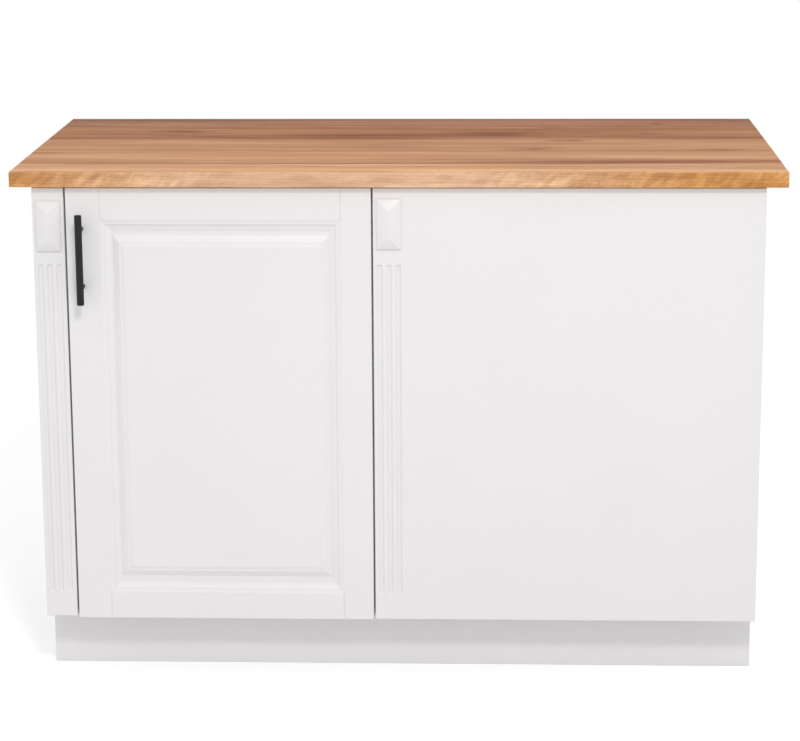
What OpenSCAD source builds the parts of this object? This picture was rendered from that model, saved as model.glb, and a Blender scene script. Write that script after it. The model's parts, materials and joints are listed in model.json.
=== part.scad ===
// Kitchen island unit: a painted base cabinet with one framed door, a wide fixed front,
// fluted pilasters and an oak worktop that overhangs all round.
// Millimetres. The origin is on the floor under the middle of the unit, X to the right, Y to the back, Z up.

/* [Overall] */
// Width of the body, without the worktop's overhang
body_w = 1200; // [1150:10:1400]
// Depth of the body, from the front faces to the back face
body_d = 594; // [520:2:700]
// Height from the floor to the top of the worktop
overall_h = 868; // [800:1:950]
// Height of the recessed plinth
plinth_h = 102; // [80:1:150]

/* [Worktop] */
// Thickness of the oak worktop
worktop_t = 26; // [20:1:40]
// How far the worktop stands out past the sides and the back of the body
overhang = 34; // [10:1:60]
// How far the worktop stands out past the fronts
front_overhang = 12; // [5:1:60]
// Radius of the rounded edges of the worktop
worktop_round = 3; // [1:0.5:6]
// Diameter of the screws that hold the worktop
worktop_screw_d = 4.5; // [3.5:0.5:6]
// Length of the worktop screws under the head
worktop_screw_l = 32; // [28:1:36]
// Number of worktop screws in each top rail
worktop_screws_per_rail = 4; // [2:1:6]

/* [Carcass] */
// Thickness of the carcass boards
board_t = 18; // [15:1:25]
// Depth of the two rails under the worktop
top_rail_d = 100; // [60:5:140]
// Width of the post behind the joint of door and fixed front
post_w = 45; // [38:1:60]
// Depth of that post
post_d = 90; // [80:1:120]
// Diameter of the dowels
dowel_d = 8; // [6:1:10]
// Length of the dowels
dowel_l = 30; // [26:1:36]
// Gap between a dowel's end and the bottom of its hole
dowel_end_gap = 1; // [0.5:0.5:2]

/* [Shelf] */
// Height of the underside of the shelf above the floor
shelf_z = 455; // [300:5:600]
// Gap between the shelf and the boards around it
shelf_gap = 1; // [0.5:0.5:3]
// Diameter of the shelf pins
shelf_pin_d = 5; // [4:0.5:7]
// How far a shelf pin stands out of the side board
shelf_pin_out = 9; // [7:1:14]
// How far a shelf pin sits in the side board
shelf_pin_in = 10; // [8:1:12]
// Distance of the shelf pins from the shelf's front and back edges
shelf_pin_inset = 60; // [40:5:120]

/* [Fronts] */
// Thickness of the door
door_t = 19; // [19:1:22]
// Gap behind the closed door
door_back_gap = 2; // [2:0.5:4]
// Gap beside the door and under the worktop
front_gap = 3; // [3:0.5:5]
// Width of the door
door_w = 502; // [450:2:600]
// Width of the fluted pilaster on the left
pilaster_w = 52; // [48:1:70]
// How far the door laps over the hinge post
door_lap = 15; // [15:0.5:18]
// How far the door hangs below the pilaster
door_drop = 3; // [0:0.5:6]
// How far the fixed front beside the door reaches below the pilaster
blind_drop = 2; // [0:0.5:6]
// Width of the stop strip that shows behind the door's free edge
stop_lap = 7; // [4:1:12]
// Chamfer on the outer edges of the fronts
edge_chamfer = 1; // [0.5:0.5:2]

/* [Pilasters] */
// Number of flutes side by side
flute_count = 3; // [1:2:3]
// Width of one flute
flute_w = 9; // [6:0.5:11]
// Depth of one flute
flute_depth = 3.2; // [2:0.2:4]
// Distance between the middles of two flutes
flute_pitch = 15.25; // [12:0.25:16]
// Plain height below the flutes
flute_foot = 42; // [20:1:100]
// Plain height above the flutes
flute_head = 127; // [115:1:160]
// Width of the faceted block at the top of a pilaster
capital_w = 40; // [30:1:46]
// Height of the faceted block
capital_h = 82.5; // [60:0.5:90]
// Height of the block's square base above the pilaster
capital_base = 4; // [2:0.5:6]
// Rise of the facets above that base
capital_rise = 8; // [4:0.5:12]
// Plain height above the left block
capital_drop = 22; // [10:0.5:30]
// Plain height above the block beside the door
centre_capital_drop = 18; // [10:0.5:30]

/* [Door frame] */
// Width of the flat face of the stile on the handle side
stile_face = 56; // [50:1:70]
// Width of the flat face of the stile on the hinge side
hinge_stile_face = 50; // [46:1:70]
// Width of the flat face of the top rail
top_face = 53; // [48:1:70]
// Width of the flat face of the bottom rail
bottom_face = 46.5; // [42:0.5:70]
// Width of the moulding on the inner edge of the frame
moulding_w = 18; // [15:0.5:20]
// Depth of the groove that holds the panel
groove_depth = 10; // [8:0.5:11]
// Width of that groove, and thickness of the tenons
groove_t = 6; // [5:0.5:6.5]
// Length of the tenons on the rails
tenon_l = 25; // [15:1:30]
// Width of the small chamfers where a stile and a rail meet
joint_line = 1.4; // [0.2:0.1:2]
// Gap around the panel's tongue and the tenons
joint_clear = 0.1; // [0.05:0.05:0.2]

/* [Door panel] */
// Depth of the panel's flat margin below the face of the frame
margin_depth = 8; // [7:0.5:8.5]
// Width of the flat margin beside the stiles
margin_side = 1.5; // [1:0.5:10]
// Width of the flat margin beside the rails
margin_end = 9; // [1:0.5:14]
// Width of the panel's main bevel
bevel_w = 10.5; // [6:0.5:14]
// Depth of the flat line at the top of the bevel
line_depth = 2.6; // [2:0.1:4]
// Width of that flat line
line_w = 3; // [1:0.5:4]
// Width of the inner slope up to the field
slope_w = 5; // [3:0.5:8]
// Depth of the raised field below the face of the frame
field_depth = 1; // [0.5:0.1:1.8]
// Gap between the panel's tongue and the bottom of the groove
tongue_gap = 1; // [0.5:0.5:2]

/* [Handle] */
// Diameter of the handle bar
bar_d = 12; // [10:0.5:14]
// Length of the handle bar
bar_l = 150; // [120:2:200]
// Distance between the two posts
handle_centres = 96; // [64:32:128]
// How far the handle stands out from the face of the door
handle_reach = 32; // [28:1:40]
// Diameter of the handle posts
handle_post_d = 9; // [7:0.5:10]
// Distance of the middle of the handle below the door's top edge
handle_drop = 116; // [100:1:200]
// Distance of the handle's middle from the door's free edge
handle_inset = 24.5; // [20:0.5:27]
// Diameter of the handle screws
handle_screw_d = 4; // [3:0.5:5]
// How deep a handle screw goes into its post
handle_screw_in = 8; // [6:1:12]
// Gap around a screw in a clearance hole
screw_clear = 0.3; // [0.2:0.1:0.5]

/* [Hinges] */
// Distance of a hinge's middle from the ends of the pilaster
hinge_inset = 82; // [75:1:120]
// Diameter of the hinge cup
cup_d = 35; // [35:1:35]
// Depth of the hinge cup
cup_depth = 12.5; // [12:0.5:13]
// Wall of the hinge cup
cup_wall = 0.6; // [0.5:0.1:0.8]
// Wood between the cup and the edge of the door
cup_edge = 4; // [4:0.1:4.5]
// Thickness of the cup's flange
flange_t = 1; // [0.8:0.1:1.2]
// Distance between the two flange screws
cup_screw_centres = 48; // [45:1:52]
// Diameter of the hinge pins
pin_d = 2.4; // [2:0.1:2.4]
// Radial gap of a hinge pin in its link
pin_clear = 0.05; // [0.03:0.01:0.08]
// Half the width of a link between its eyes
link_half = 1.3; // [1.1:0.1:1.4]
// Radius of the eyes of the inner links
eye_r = 2.3; // [2:0.1:2.3]
// Setback of the mounting plate's screws from the front of the post
plate_setback = 37; // [36:1:45]
// Thickness of the mounting plate
plate_t = 3.5; // [2.5:0.5:4]
// Distance between the two plate screws
plate_screw_centres = 32; // [28:2:40]

/* [Plinth] */
// How far the plinth stands back from the front and from the back
plinth_recess = 58; // [40:1:80]
// How far the plinth stands in from the ends
plinth_inset = 2; // [0:1:20]
// Thickness of the plinth boards
plinth_t = 16; // [12:1:22]
// Side of the corner blocks in the plinth
block_side = 35; // [30:1:50]

/* [Hidden] */

// Colours
paint = "white";
oak = "burlywood";
board_white = "whitesmoke";
timber = "wheat";
black = "#1c1b1b";
steel = "silver";

// A little more than nothing, for cuts that run past a face
past = 1;
round_fn = 48;

// Main planes
front_reach = max(front_overhang, handle_reach);
front_y = front_reach - (front_reach + body_d + overhang) / 2;
back_y = front_y + body_d;
left_x = -body_w / 2;
right_x = body_w / 2;
carcass_y = front_y + door_t + door_back_gap;
inner_back_y = back_y - board_t;
carcass_top = overall_h - worktop_t;
front_top = carcass_top - front_gap;
front_t = carcass_y - front_y;

// The row of fronts, from left to right
pilaster_x1 = left_x + pilaster_w;
door_x0 = pilaster_x1 + front_gap;
door_x1 = door_x0 + door_w;
blind_x0 = door_x1 + front_gap;
door_back_y = front_y + door_t;
door_z0 = plinth_h - door_drop;
blind_z0 = plinth_h - blind_drop;

// Post, cleats and shelf
post_x0 = door_x1 - door_lap;
post_x1 = post_x0 + post_w;
post_y1 = carcass_y + post_d;
cleat_gap = 6;
cleat_w = pilaster_w - board_t - cleat_gap;
stop_w = cleat_gap + front_gap + stop_lap;
shelf_front_gap = 6;
shelf_y0 = post_y1 + shelf_front_gap;
shelf_y1 = inner_back_y - shelf_gap;
pin_collar = 0.8 * shelf_gap;

// Places of the dowels: how far in from the edges of the boards, and the wood left behind a dowel
bottom_dowel_inset = 50;
rail_dowel_inset = 25;
post_dowel_inset = 22;
dowel_skin = 6;

// Flutes are cut by a round cutter that sinks by flute_depth
flute_r = (flute_w * flute_w / 4 + flute_depth * flute_depth) / (2 * flute_depth);
flute_end_steps = 8;

// Moulding of the door frame, as distances in from the face's edge and depths below the face: a small
// arris, a shallow hollow, a step and a steep cove that is a part of an arc from cove_a0 to cove_a1
arris = 0.3;
hollow_w = 7.5;
hollow_depth = 2;
hollow_steps = 5;
step_w = 0.5;
step_depth = 3;
cove_a0 = 25;
cove_a1 = 70;
cove_steps = 8;
lip_depth = 7.2;

// Tenons: shoulders at the door's edge and at the moulding, and the gap past the tenon's end
tenon_shoulder = 8;
tenon_inner_shoulder = 2;
mortise_end_gap = 1;

// Small chamfer on the ends of the handle bar
bar_chamfer = 0.8;

// Hinge pivots, as distances in from the door's edge and behind the door's back face
inner_arm_pivot = [44.9, 10.6];
inner_cup_pivot = [17.25, -1.5];
outer_arm_pivot = [43.4, 3];
outer_cup_pivot = [19.1, -3.2];
// The outer link's cup end is the open pivot of the linkage: its hole is wide
open_pivot_clear = 0.75;
open_eye_wall = 0.9;
open_pivot_r = pin_d / 2 + open_pivot_clear;
open_eye_r = open_pivot_r + open_eye_wall;
// Layers of the hinge, as heights from its middle
outer_link_half = 2.6;
cheek_in = 2.9;
cheek_out = 4.4;
lug_out = 4.2;
inner_link_in = 4.7;
inner_link_out = 6.2;
outer_lug_in = 6.5;
outer_lug_out = 7.9;
pin_over = 0.2;
// Cup: gap in its bore, lap of its round flange, width of its wings and how far they are set in
cup_clear = 0.1;
flange_lap = 1.2;
wing_w = 13;
cup_screw_shift = 6;
// Arm: thickness over the plate, neck in front of the plate's middle, tail and screw behind it
arm_t = 11;
arm_neck = 14;
arm_bend = 10;
arm_tail = 26;
arm_screw_back = 14;
arm_screw_d = 5;
arm_screw_head_h = 2;
arm_heel = 6;
arm_toe = 2;
// Mounting plate: nose in front of its middle, tail past the arm, rim beside the arm, and its wings
plate_nose = 18;
plate_tail = 2;
plate_rim = 1;
plate_wing_d = 12;
plate_wing_end = 6;
upper_hinge_z = front_top - hinge_inset;
lower_hinge_z = plinth_h + hinge_inset;

// Fasteners
small_screw_d = 3.5;
small_screw_l = 14;
small_head_d = 7;
small_head_h = 2;
screw_end_gap = 1;
worktop_screw_head_d = 2 * worktop_screw_d;
worktop_screw_head_h = worktop_screw_d / 2;
handle_screw_head_d = 2 * handle_screw_d;
handle_screw_head_h = handle_screw_d / 2;
front_screw_d = 4;
front_screw_l = 30;
front_screw_head_d = 8;
front_screw_inset = 80;
bumper_d = 6;
bumper_t = 1.8;
bumper_inset = 8;

// Helpers

// A board between two corners
module board(x0, x1, y0, y1, z0, z1) {
  translate([x0, y0, z0])
    cube([x1 - x0, y1 - y0, z1 - z0]);
}

// A round bar along X, Y or Z
module bar_x(x0, x1, y, z, r) {
  translate([x0, y, z])
    rotate([0, 90, 0])
      cylinder(r = r, h = x1 - x0, $fn = round_fn);
}

module bar_y(x, y0, y1, z, r) {
  translate([x, y0, z])
    rotate([-90, 0, 0])
      cylinder(r = r, h = y1 - y0, $fn = round_fn);
}

module bar_z(x, y, z0, z1, r) {
  translate([x, y, z0])
    cylinder(r = r, h = z1 - z0, $fn = round_fn);
}

// A screw with a flat round head; the shank runs up Z from the origin
module screw(d, l, head_d, head_h) {
  cylinder(d = d, h = l, $fn = round_fn);
  translate([0, 0, -head_h])
    cylinder(d = head_d, h = head_h, $fn = round_fn);
}

// A screw with a countersunk head whose top is at the origin
module sunk_screw(d, l, head_d) {
  cylinder(d = d, h = l, $fn = round_fn);
  cylinder(d1 = head_d, d2 = d, h = (head_d - d) / 2, $fn = round_fn);
}

// Section through a front with its two front edges chamfered: place across, depth
function chamfered(a, b, depth) = [
  [a, depth], [a, edge_chamfer], [a + edge_chamfer, 0], [b - edge_chamfer, 0], [b, edge_chamfer], [b, depth]
];

// A front of the given depth that spans x0..x1 and reaches down to z0, chamfered all round
module chamfered_front(x0, x1, z0, depth) {
  intersection() {
    translate([0, front_y, z0])
      linear_extrude(front_top - z0)
        polygon(chamfered(x0, x1, depth));
    translate([x0, front_y, 0])
      rotate([90, 0, 90])
        linear_extrude(x1 - x0)
          polygon([for (p = chamfered(z0, front_top, depth)) [p[1], p[0]]]);
  }
}

// Worktop

module round_edge_cut(l) {
  // Cuts the upper outer corner of an edge along X; the corner is at y = 0, z = 0
  translate([-past, 0, 0])
    rotate([90, 0, 90])
      linear_extrude(l + 2 * past)
        difference() {
          translate([-past, -worktop_round])
            square([worktop_round + past, worktop_round + past]);
          translate([worktop_round, -worktop_round])
            circle(r = worktop_round, $fn = round_fn);
        }
}

module worktop() {
  w = body_w + 2 * overhang;
  d = front_overhang + body_d + overhang;
  y0 = front_y - front_overhang;
  color(oak)
    difference() {
      board(-w / 2, w / 2, y0, y0 + d, carcass_top, overall_h);
      translate([-w / 2, y0, overall_h])
        round_edge_cut(w);
      translate([w / 2, y0 + d, overall_h])
        rotate([0, 0, 180])
          round_edge_cut(w);
      translate([-w / 2, y0 + d, overall_h])
        rotate([0, 0, -90])
          round_edge_cut(d);
      translate([w / 2, y0, overall_h])
        rotate([0, 0, 90])
          round_edge_cut(d);
      at_worktop_screws()
        cylinder(d = worktop_screw_d, h = worktop_screw_l + screw_end_gap, $fn = round_fn);
    }
}

// Places a child under each worktop screw, at the underside of the top rails
module at_worktop_screws() {
  n = worktop_screws_per_rail;
  span = body_w - 2 * board_t;
  for (y = [carcass_y + top_rail_d / 2, inner_back_y - top_rail_d / 2])
    for (i = [0 : n - 1])
      translate([left_x + board_t + span * (i + 0.5) / n, y, carcass_top - board_t])
        children();
}

module worktop_screws() {
  color(steel)
    at_worktop_screws()
      screw(worktop_screw_d, worktop_screw_l, worktop_screw_head_d, worktop_screw_head_h);
}

// Dowels

side_dowel_in = board_t - dowel_skin;
bottom_dowel_ys = [carcass_y + bottom_dowel_inset, (carcass_y + inner_back_y) / 2,
                   inner_back_y - bottom_dowel_inset];
rail_dowel_ins = [rail_dowel_inset, top_rail_d - rail_dowel_inset];
post_dowel_ys = [carcass_y + post_dowel_inset, post_y1 - post_dowel_inset];

// One dowel along X that sits by side_dowel_in in the side board; dir points into the carcass
module side_dowel(dir, y, z, extra) {
  x = dir > 0 ? left_x + board_t : right_x - board_t;
  a = x - dir * (side_dowel_in + extra);
  b = x + dir * (dowel_l - side_dowel_in + extra);
  bar_x(min(a, b), max(a, b), y, z, dowel_d / 2);
}

module carcass_dowel_set(extra) {
  rail_z = carcass_top - board_t / 2;
  for (dir = [1, -1]) {
    for (y = bottom_dowel_ys)
      side_dowel(dir, y, plinth_h + board_t / 2, extra);
    for (d = rail_dowel_ins) {
      side_dowel(dir, carcass_y + d, rail_z, extra);
      side_dowel(dir, inner_back_y - d, rail_z, extra);
    }
  }
  for (y = post_dowel_ys) {
    x = (post_x0 + post_x1) / 2;
    z0 = plinth_h + board_t;
    z1 = carcass_top - board_t;
    bar_z(x, y, z0 - side_dowel_in - extra, z0 + dowel_l - side_dowel_in + extra, dowel_d / 2);
    bar_z(x, y, z1 - dowel_l + side_dowel_in - extra, z1 + side_dowel_in + extra, dowel_d / 2);
  }
}

module carcass_dowels() {
  color(timber)
    carcass_dowel_set(0);
}

// Carcass

module side_board(x0, x1, dir) {
  difference() {
    board(x0, x1, carcass_y, inner_back_y, plinth_h, carcass_top);
    carcass_dowel_set(dowel_end_gap);
    shelf_pin_set(dir, 0);
  }
}

module side_left() {
  color(paint)
    side_board(left_x, left_x + board_t, 1);
}

module side_right() {
  color(paint)
    side_board(right_x - board_t, right_x, -1);
}

module bottom_panel() {
  color(board_white)
    difference() {
      board(left_x + board_t, right_x - board_t, carcass_y, inner_back_y, plinth_h, plinth_h + board_t);
      carcass_dowel_set(dowel_end_gap);
      plinth_dowel_set(dowel_end_gap);
    }
}

module back_panel() {
  color(paint)
    board(left_x, right_x, inner_back_y, back_y, plinth_h, carcass_top);
}

module top_rail(y0) {
  color(board_white)
    difference() {
      board(left_x + board_t, right_x - board_t, y0, y0 + top_rail_d, carcass_top - board_t, carcass_top);
      carcass_dowel_set(dowel_end_gap);
      at_worktop_screws()
        translate([0, 0, -past])
          cylinder(r = worktop_screw_d / 2 + screw_clear, h = board_t + 2 * past, $fn = round_fn);
    }
}

module top_rail_front() {
  top_rail(carcass_y);
}

module top_rail_rear() {
  top_rail(inner_back_y - top_rail_d);
}

module hinge_post() {
  color(board_white)
    difference() {
      board(post_x0, post_x1, carcass_y, post_y1, plinth_h + board_t, carcass_top - board_t);
      carcass_dowel_set(dowel_end_gap);
      for (z = [upper_hinge_z, lower_hinge_z])
        at_plate_screws(z)
          cylinder(d = small_screw_d, h = small_screw_l + screw_end_gap, $fn = round_fn);
    }
}

// Shelf pins of one side board; dir points into the carcass
module shelf_pin_set(dir, collar) {
  x = dir > 0 ? left_x + board_t : right_x - board_t;
  for (y = [shelf_y0 + shelf_pin_inset, shelf_y1 - shelf_pin_inset]) {
    a = x - dir * shelf_pin_in;
    b = x + dir * shelf_pin_out;
    bar_x(min(a, b), max(a, b), y, shelf_z - shelf_pin_d / 2, shelf_pin_d / 2);
    if (collar > 0)
      bar_x(min(x, x + dir * collar), max(x, x + dir * collar), y,
            shelf_z - shelf_pin_d / 2, shelf_pin_d / 2 + collar);
  }
}

module shelf_pins() {
  color(steel)
    for (dir = [1, -1])
      difference() {
        shelf_pin_set(dir, pin_collar);
        board(left_x, right_x, shelf_y0, shelf_y1, shelf_z, shelf_z + board_t);
      }
}

module shelf() {
  color(board_white)
    board(left_x + board_t + shelf_gap, right_x - board_t - shelf_gap, shelf_y0, shelf_y1,
          shelf_z, shelf_z + board_t);
}

// Fixed fronts

// The flutes of one pilaster, around the middle line at x
module flutes(x) {
  z0 = plinth_h + flute_foot + flute_w / 2;
  z1 = front_top - flute_head - flute_w / 2;
  y = front_y - flute_r + flute_depth;
  for (i = [0 : flute_count - 1])
    translate([x + (i - (flute_count - 1) / 2) * flute_pitch, y, z0])
      rotate_extrude($fn = round_fn)
        polygon(concat(
          [for (i = [0 : flute_end_steps]) let (a = 90 * i / flute_end_steps)
            [flute_r * sin(a), -flute_r * cos(a)]],
          [for (i = [0 : flute_end_steps]) let (a = 90 * i / flute_end_steps)
            [flute_r * cos(a), z1 - z0 + flute_r * sin(a)]]
        ));
}

// The faceted block at the top of a pilaster, around the middle line at x
module capital(x, drop) {
  z0 = front_top - drop - capital_h;
  half = capital_w / 2;
  tip = capital_base + capital_rise;
  color(paint)
    intersection() {
      translate([x, front_y, z0])
        linear_extrude(capital_h)
          polygon([[-half, 0], [-half, -capital_base], [0, -tip], [half, -capital_base], [half, 0]]);
      translate([x - half, front_y, z0])
        rotate([90, 0, 90])
          linear_extrude(capital_w)
            polygon([[0, 0], [-capital_base, 0], [-tip, half], [-tip, capital_h - half],
                     [-capital_base, capital_h], [0, capital_h]]);
    }
}

module fixed_front(x0, x1, z0, flute_x) {
  color(paint)
    difference() {
      chamfered_front(x0, x1, z0, front_t);
      flutes(flute_x);
      front_screw_set();
    }
}

module left_pilaster() {
  fixed_front(left_x, pilaster_x1, plinth_h, left_x + pilaster_w / 2);
}

module left_capital() {
  capital(left_x + pilaster_w / 2, capital_drop);
}

module blind_panel() {
  fixed_front(blind_x0, right_x, blind_z0, blind_x0 + pilaster_w / 2);
}

module centre_capital() {
  capital(blind_x0 + pilaster_w / 2, centre_capital_drop);
}

// Cleats behind the fixed fronts, and the screws that go through them

front_screw_zs = [plinth_h + board_t + front_screw_inset, (plinth_h + carcass_top) / 2,
                  carcass_top - board_t - front_screw_inset];

module front_screw_set() {
  for (x = [left_x + board_t + cleat_w / 2, right_x - board_t - cleat_w / 2])
    for (z = front_screw_zs)
      translate([x, carcass_y + board_t, z])
        rotate([90, 0, 0])
          sunk_screw(front_screw_d, front_screw_l, front_screw_head_d);
}

module front_screws() {
  color(steel)
    front_screw_set();
}

module cleat(x0, w) {
  difference() {
    board(x0, x0 + w, carcass_y, carcass_y + board_t, plinth_h + board_t, carcass_top - board_t);
    front_screw_set();
  }
}

// The left cleat is wider and closes the gap beside the door from behind
module left_cleat() {
  color(board_white)
    cleat(left_x + board_t, cleat_w + stop_w);
}

module right_cleat() {
  color(timber)
    cleat(right_x - board_t - cleat_w, cleat_w);
}

// Plinth

plinth_x0 = left_x + plinth_inset;
plinth_x1 = right_x - plinth_inset;
plinth_y0 = front_y + plinth_recess;
plinth_y1 = back_y - plinth_recess;

module plinth_front() {
  color(paint)
    board(plinth_x0, plinth_x1, plinth_y0, plinth_y0 + plinth_t, 0, plinth_h);
}

module plinth_rear() {
  color(paint)
    board(plinth_x0, plinth_x1, plinth_y1 - plinth_t, plinth_y1, 0, plinth_h);
}

module plinth_left() {
  color(paint)
    board(plinth_x0, plinth_x0 + plinth_t, plinth_y0 + plinth_t, plinth_y1 - plinth_t, 0, plinth_h);
}

module plinth_right() {
  color(paint)
    board(plinth_x1 - plinth_t, plinth_x1, plinth_y0 + plinth_t, plinth_y1 - plinth_t, 0, plinth_h);
}

module plinth_cross_rail() {
  color(timber)
    board(-plinth_t / 2, plinth_t / 2, plinth_y0 + plinth_t, plinth_y1 - plinth_t, 0, plinth_h);
}

// Low corners of the four corner blocks
block_xs = [plinth_x0 + plinth_t, plinth_x1 - plinth_t - block_side];
block_ys = [plinth_y0 + plinth_t, plinth_y1 - plinth_t - block_side];

module plinth_dowel_set(extra) {
  for (x = block_xs)
    for (y = block_ys)
      bar_z(x + block_side / 2, y + block_side / 2, plinth_h + side_dowel_in - dowel_l - extra,
            plinth_h + side_dowel_in + extra, dowel_d / 2);
}

module plinth_blocks() {
  color(timber)
    difference() {
      for (x = block_xs)
        for (y = block_ys)
          board(x, x + block_side, y, y + block_side, 0, plinth_h);
      plinth_dowel_set(dowel_end_gap);
    }
}

module plinth_dowels() {
  color(timber)
    plinth_dowel_set(0);
}

// Door frame

// Outline of a frame member: distance in from the door's outer edge, depth below the face
function moulding(face) = let (cove_x = hollow_w + step_w) concat(
  [[face, 0]],
  [for (i = [0 : hollow_steps]) let (a = 90 * i / hollow_steps)
    [face + arris + (hollow_w - arris) * i / hollow_steps, arris + (hollow_depth - arris) * sin(a)]],
  [for (i = [0 : cove_steps]) let (a = cove_a0 + (cove_a1 - cove_a0) * i / cove_steps)
    [face + cove_x + (moulding_w - cove_x) * (cos(cove_a0) - cos(a)) / (cos(cove_a0) - cos(cove_a1)),
     step_depth + (lip_depth - step_depth) * (sin(a) - sin(cove_a0)) / (sin(cove_a1) - sin(cove_a0))]],
  [[face + moulding_w, margin_depth]]
);

function member_outline(face) = concat(
  [[0, 0]],
  moulding(face),
  [[face + moulding_w - groove_depth, margin_depth],
   [face + moulding_w - groove_depth, margin_depth + groove_t],
   [face + moulding_w, margin_depth + groove_t],
   [face + moulding_w, door_t],
   [0, door_t]]
);

// Cuts the moulding of a stile at the mitre above the bottom rail; stands for the left stile's lower end
module stile_mitre(side_face, rail_face) {
  w = moulding_w + past;
  translate([door_x0, door_back_y + past, door_z0])
    rotate([90, 0, 0])
      linear_extrude(door_t + 2 * past)
        polygon([[side_face, -past], [side_face + w, -past],
                 [side_face + w, rail_face + w], [side_face, rail_face]]);
}

// Cuts the moulding of a rail at its left mitre; stands for the bottom rail
module rail_mitre(side_face, rail_face) {
  w = moulding_w + past;
  translate([door_x0, door_back_y + past, door_z0])
    rotate([90, 0, 0])
      linear_extrude(door_t + 2 * past)
        polygon([[side_face - past, rail_face - past], [side_face + w, rail_face + w],
                 [side_face - past, rail_face + w]]);
}

// Cuts the small chamfer at the joint of a stile and a rail whose faces are as wide as given; stands for
// the lower left joint, where dir is 1 on the rail and -1 on the stile
module joint_line_cut(dir, side_face, rail_face) {
  reach = joint_line + past;
  translate([door_x0 + side_face, front_y, door_z0 - past])
    linear_extrude(rail_face + past)
      polygon([[-dir * past, -past], [dir * reach, -past], [-dir * past, reach]]);
}

// Turns what stands for one side of the door into the other side
module flip_x() {
  translate([door_x0 + door_x1, 0, 0])
    mirror([1, 0, 0])
      children();
}

module flip_z() {
  translate([0, 0, door_z0 + front_top])
    mirror([0, 0, 1])
      children();
}

// Tenon on the left end of a rail, rooted a little inside the rail; clear widens it into a mortise
module tenon(side_face, rail_face, clear) {
  board(door_x0 + side_face - tenon_l - (clear > 0 ? mortise_end_gap : 0),
        door_x0 + side_face + (clear > 0 ? clear : past),
        front_y + margin_depth + joint_clear - clear, front_y + margin_depth + groove_t - joint_clear + clear,
        door_z0 + tenon_shoulder - clear, door_z0 + rail_face - tenon_inner_shoulder + clear);
}

module stile_blank(side_face) {
  difference() {
    intersection() {
      translate([door_x0, front_y, door_z0])
        linear_extrude(front_top - door_z0)
          polygon(member_outline(side_face));
      chamfered_front(door_x0, door_x1, door_z0, door_t);
    }
    stile_mitre(side_face, bottom_face);
    flip_z()
      stile_mitre(side_face, top_face);
    tenon(side_face, bottom_face, joint_clear);
    flip_z()
      tenon(side_face, top_face, joint_clear);
    joint_line_cut(-1, side_face, bottom_face);
    flip_z()
      joint_line_cut(-1, side_face, top_face);
  }
}

module door_left_stile() {
  color(paint)
    difference() {
      stile_blank(stile_face);
      at_handle_screws()
        translate([0, 0, -past])
          cylinder(r = handle_screw_d / 2 + screw_clear, h = door_t + 2 * past, $fn = round_fn);
    }
}

module door_right_stile() {
  color(paint)
    difference() {
      flip_x()
        stile_blank(hinge_stile_face);
      for (z = [upper_hinge_z, lower_hinge_z]) {
        bar_y(cup_x, door_back_y - cup_depth, door_back_y + past, z, cup_d / 2 + cup_clear);
        at_cup_screws(z)
          cylinder(d = small_screw_d, h = small_screw_l, $fn = round_fn);
      }
    }
}

module rail_blank(rail_face) {
  difference() {
    union() {
      intersection() {
        translate([door_x0 + stile_face, front_y, door_z0])
          rotate([90, 0, 90])
            linear_extrude(door_w - stile_face - hinge_stile_face)
              polygon([for (p = member_outline(rail_face)) [p[1], p[0]]]);
        chamfered_front(door_x0, door_x1, door_z0, door_t);
      }
      tenon(stile_face, rail_face, 0);
      flip_x()
        tenon(hinge_stile_face, rail_face, 0);
    }
    rail_mitre(stile_face, rail_face);
    flip_x()
      rail_mitre(hinge_stile_face, rail_face);
    joint_line_cut(1, stile_face, rail_face);
    flip_x()
      joint_line_cut(1, hinge_stile_face, rail_face);
  }
}

module door_bottom_rail() {
  color(paint)
    rail_blank(bottom_face);
}

module door_top_rail() {
  color(paint)
    flip_z()
      rail_blank(top_face);
}

// Door panel

// Outline of the raised part, from one side to the other: place across, depth
function raised_outline(a, b) = let (
  s1 = bevel_w,
  s2 = bevel_w + line_w,
  s3 = bevel_w + line_w + slope_w,
  base = margin_depth + joint_clear,
  rear = margin_depth + groove_t - joint_clear
) [
  [a, rear], [a, base], [a + s1, line_depth], [a + s2, line_depth], [a + s3, field_depth],
  [b - s3, field_depth], [b - s2, line_depth], [b - s1, line_depth], [b, base], [b, rear]
];

module door_panel() {
  sight_x0 = door_x0 + stile_face + moulding_w;
  sight_x1 = door_x1 - hinge_stile_face - moulding_w;
  sight_z0 = door_z0 + bottom_face + moulding_w;
  sight_z1 = front_top - top_face - moulding_w;
  tongue = groove_depth - tongue_gap;
  color(paint)
    union() {
      board(sight_x0 - tongue, sight_x1 + tongue, front_y + margin_depth + joint_clear,
            front_y + margin_depth + groove_t - joint_clear, sight_z0 - tongue, sight_z1 + tongue);
      intersection() {
        translate([0, front_y, sight_z0])
          linear_extrude(sight_z1 - sight_z0)
            polygon(raised_outline(sight_x0 + margin_side, sight_x1 - margin_side));
        translate([sight_x0, front_y, 0])
          rotate([90, 0, 90])
            linear_extrude(sight_x1 - sight_x0)
              polygon([for (p = raised_outline(sight_z0 + margin_end, sight_z1 - margin_end)) [p[1], p[0]]]);
      }
    }
}

module door_bumpers() {
  x = door_x0 + bumper_inset;
  color("gainsboro")
    for (z = [plinth_h + board_t / 2, front_top - (board_t - front_gap) / 2])
      bar_y(x, door_back_y, door_back_y + bumper_t, z, bumper_d / 2);
}

// Handle

handle_x = door_x0 + handle_inset;
handle_mid_z = front_top - handle_drop;
bar_y_axis = front_y - handle_reach + bar_d / 2;

// Places a child at the back of the door behind each handle post, with Z towards the front
module at_handle_screws() {
  for (z = [handle_mid_z - handle_centres / 2, handle_mid_z + handle_centres / 2])
    translate([handle_x, door_back_y, z])
      rotate([90, 0, 0])
        children();
}

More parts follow.
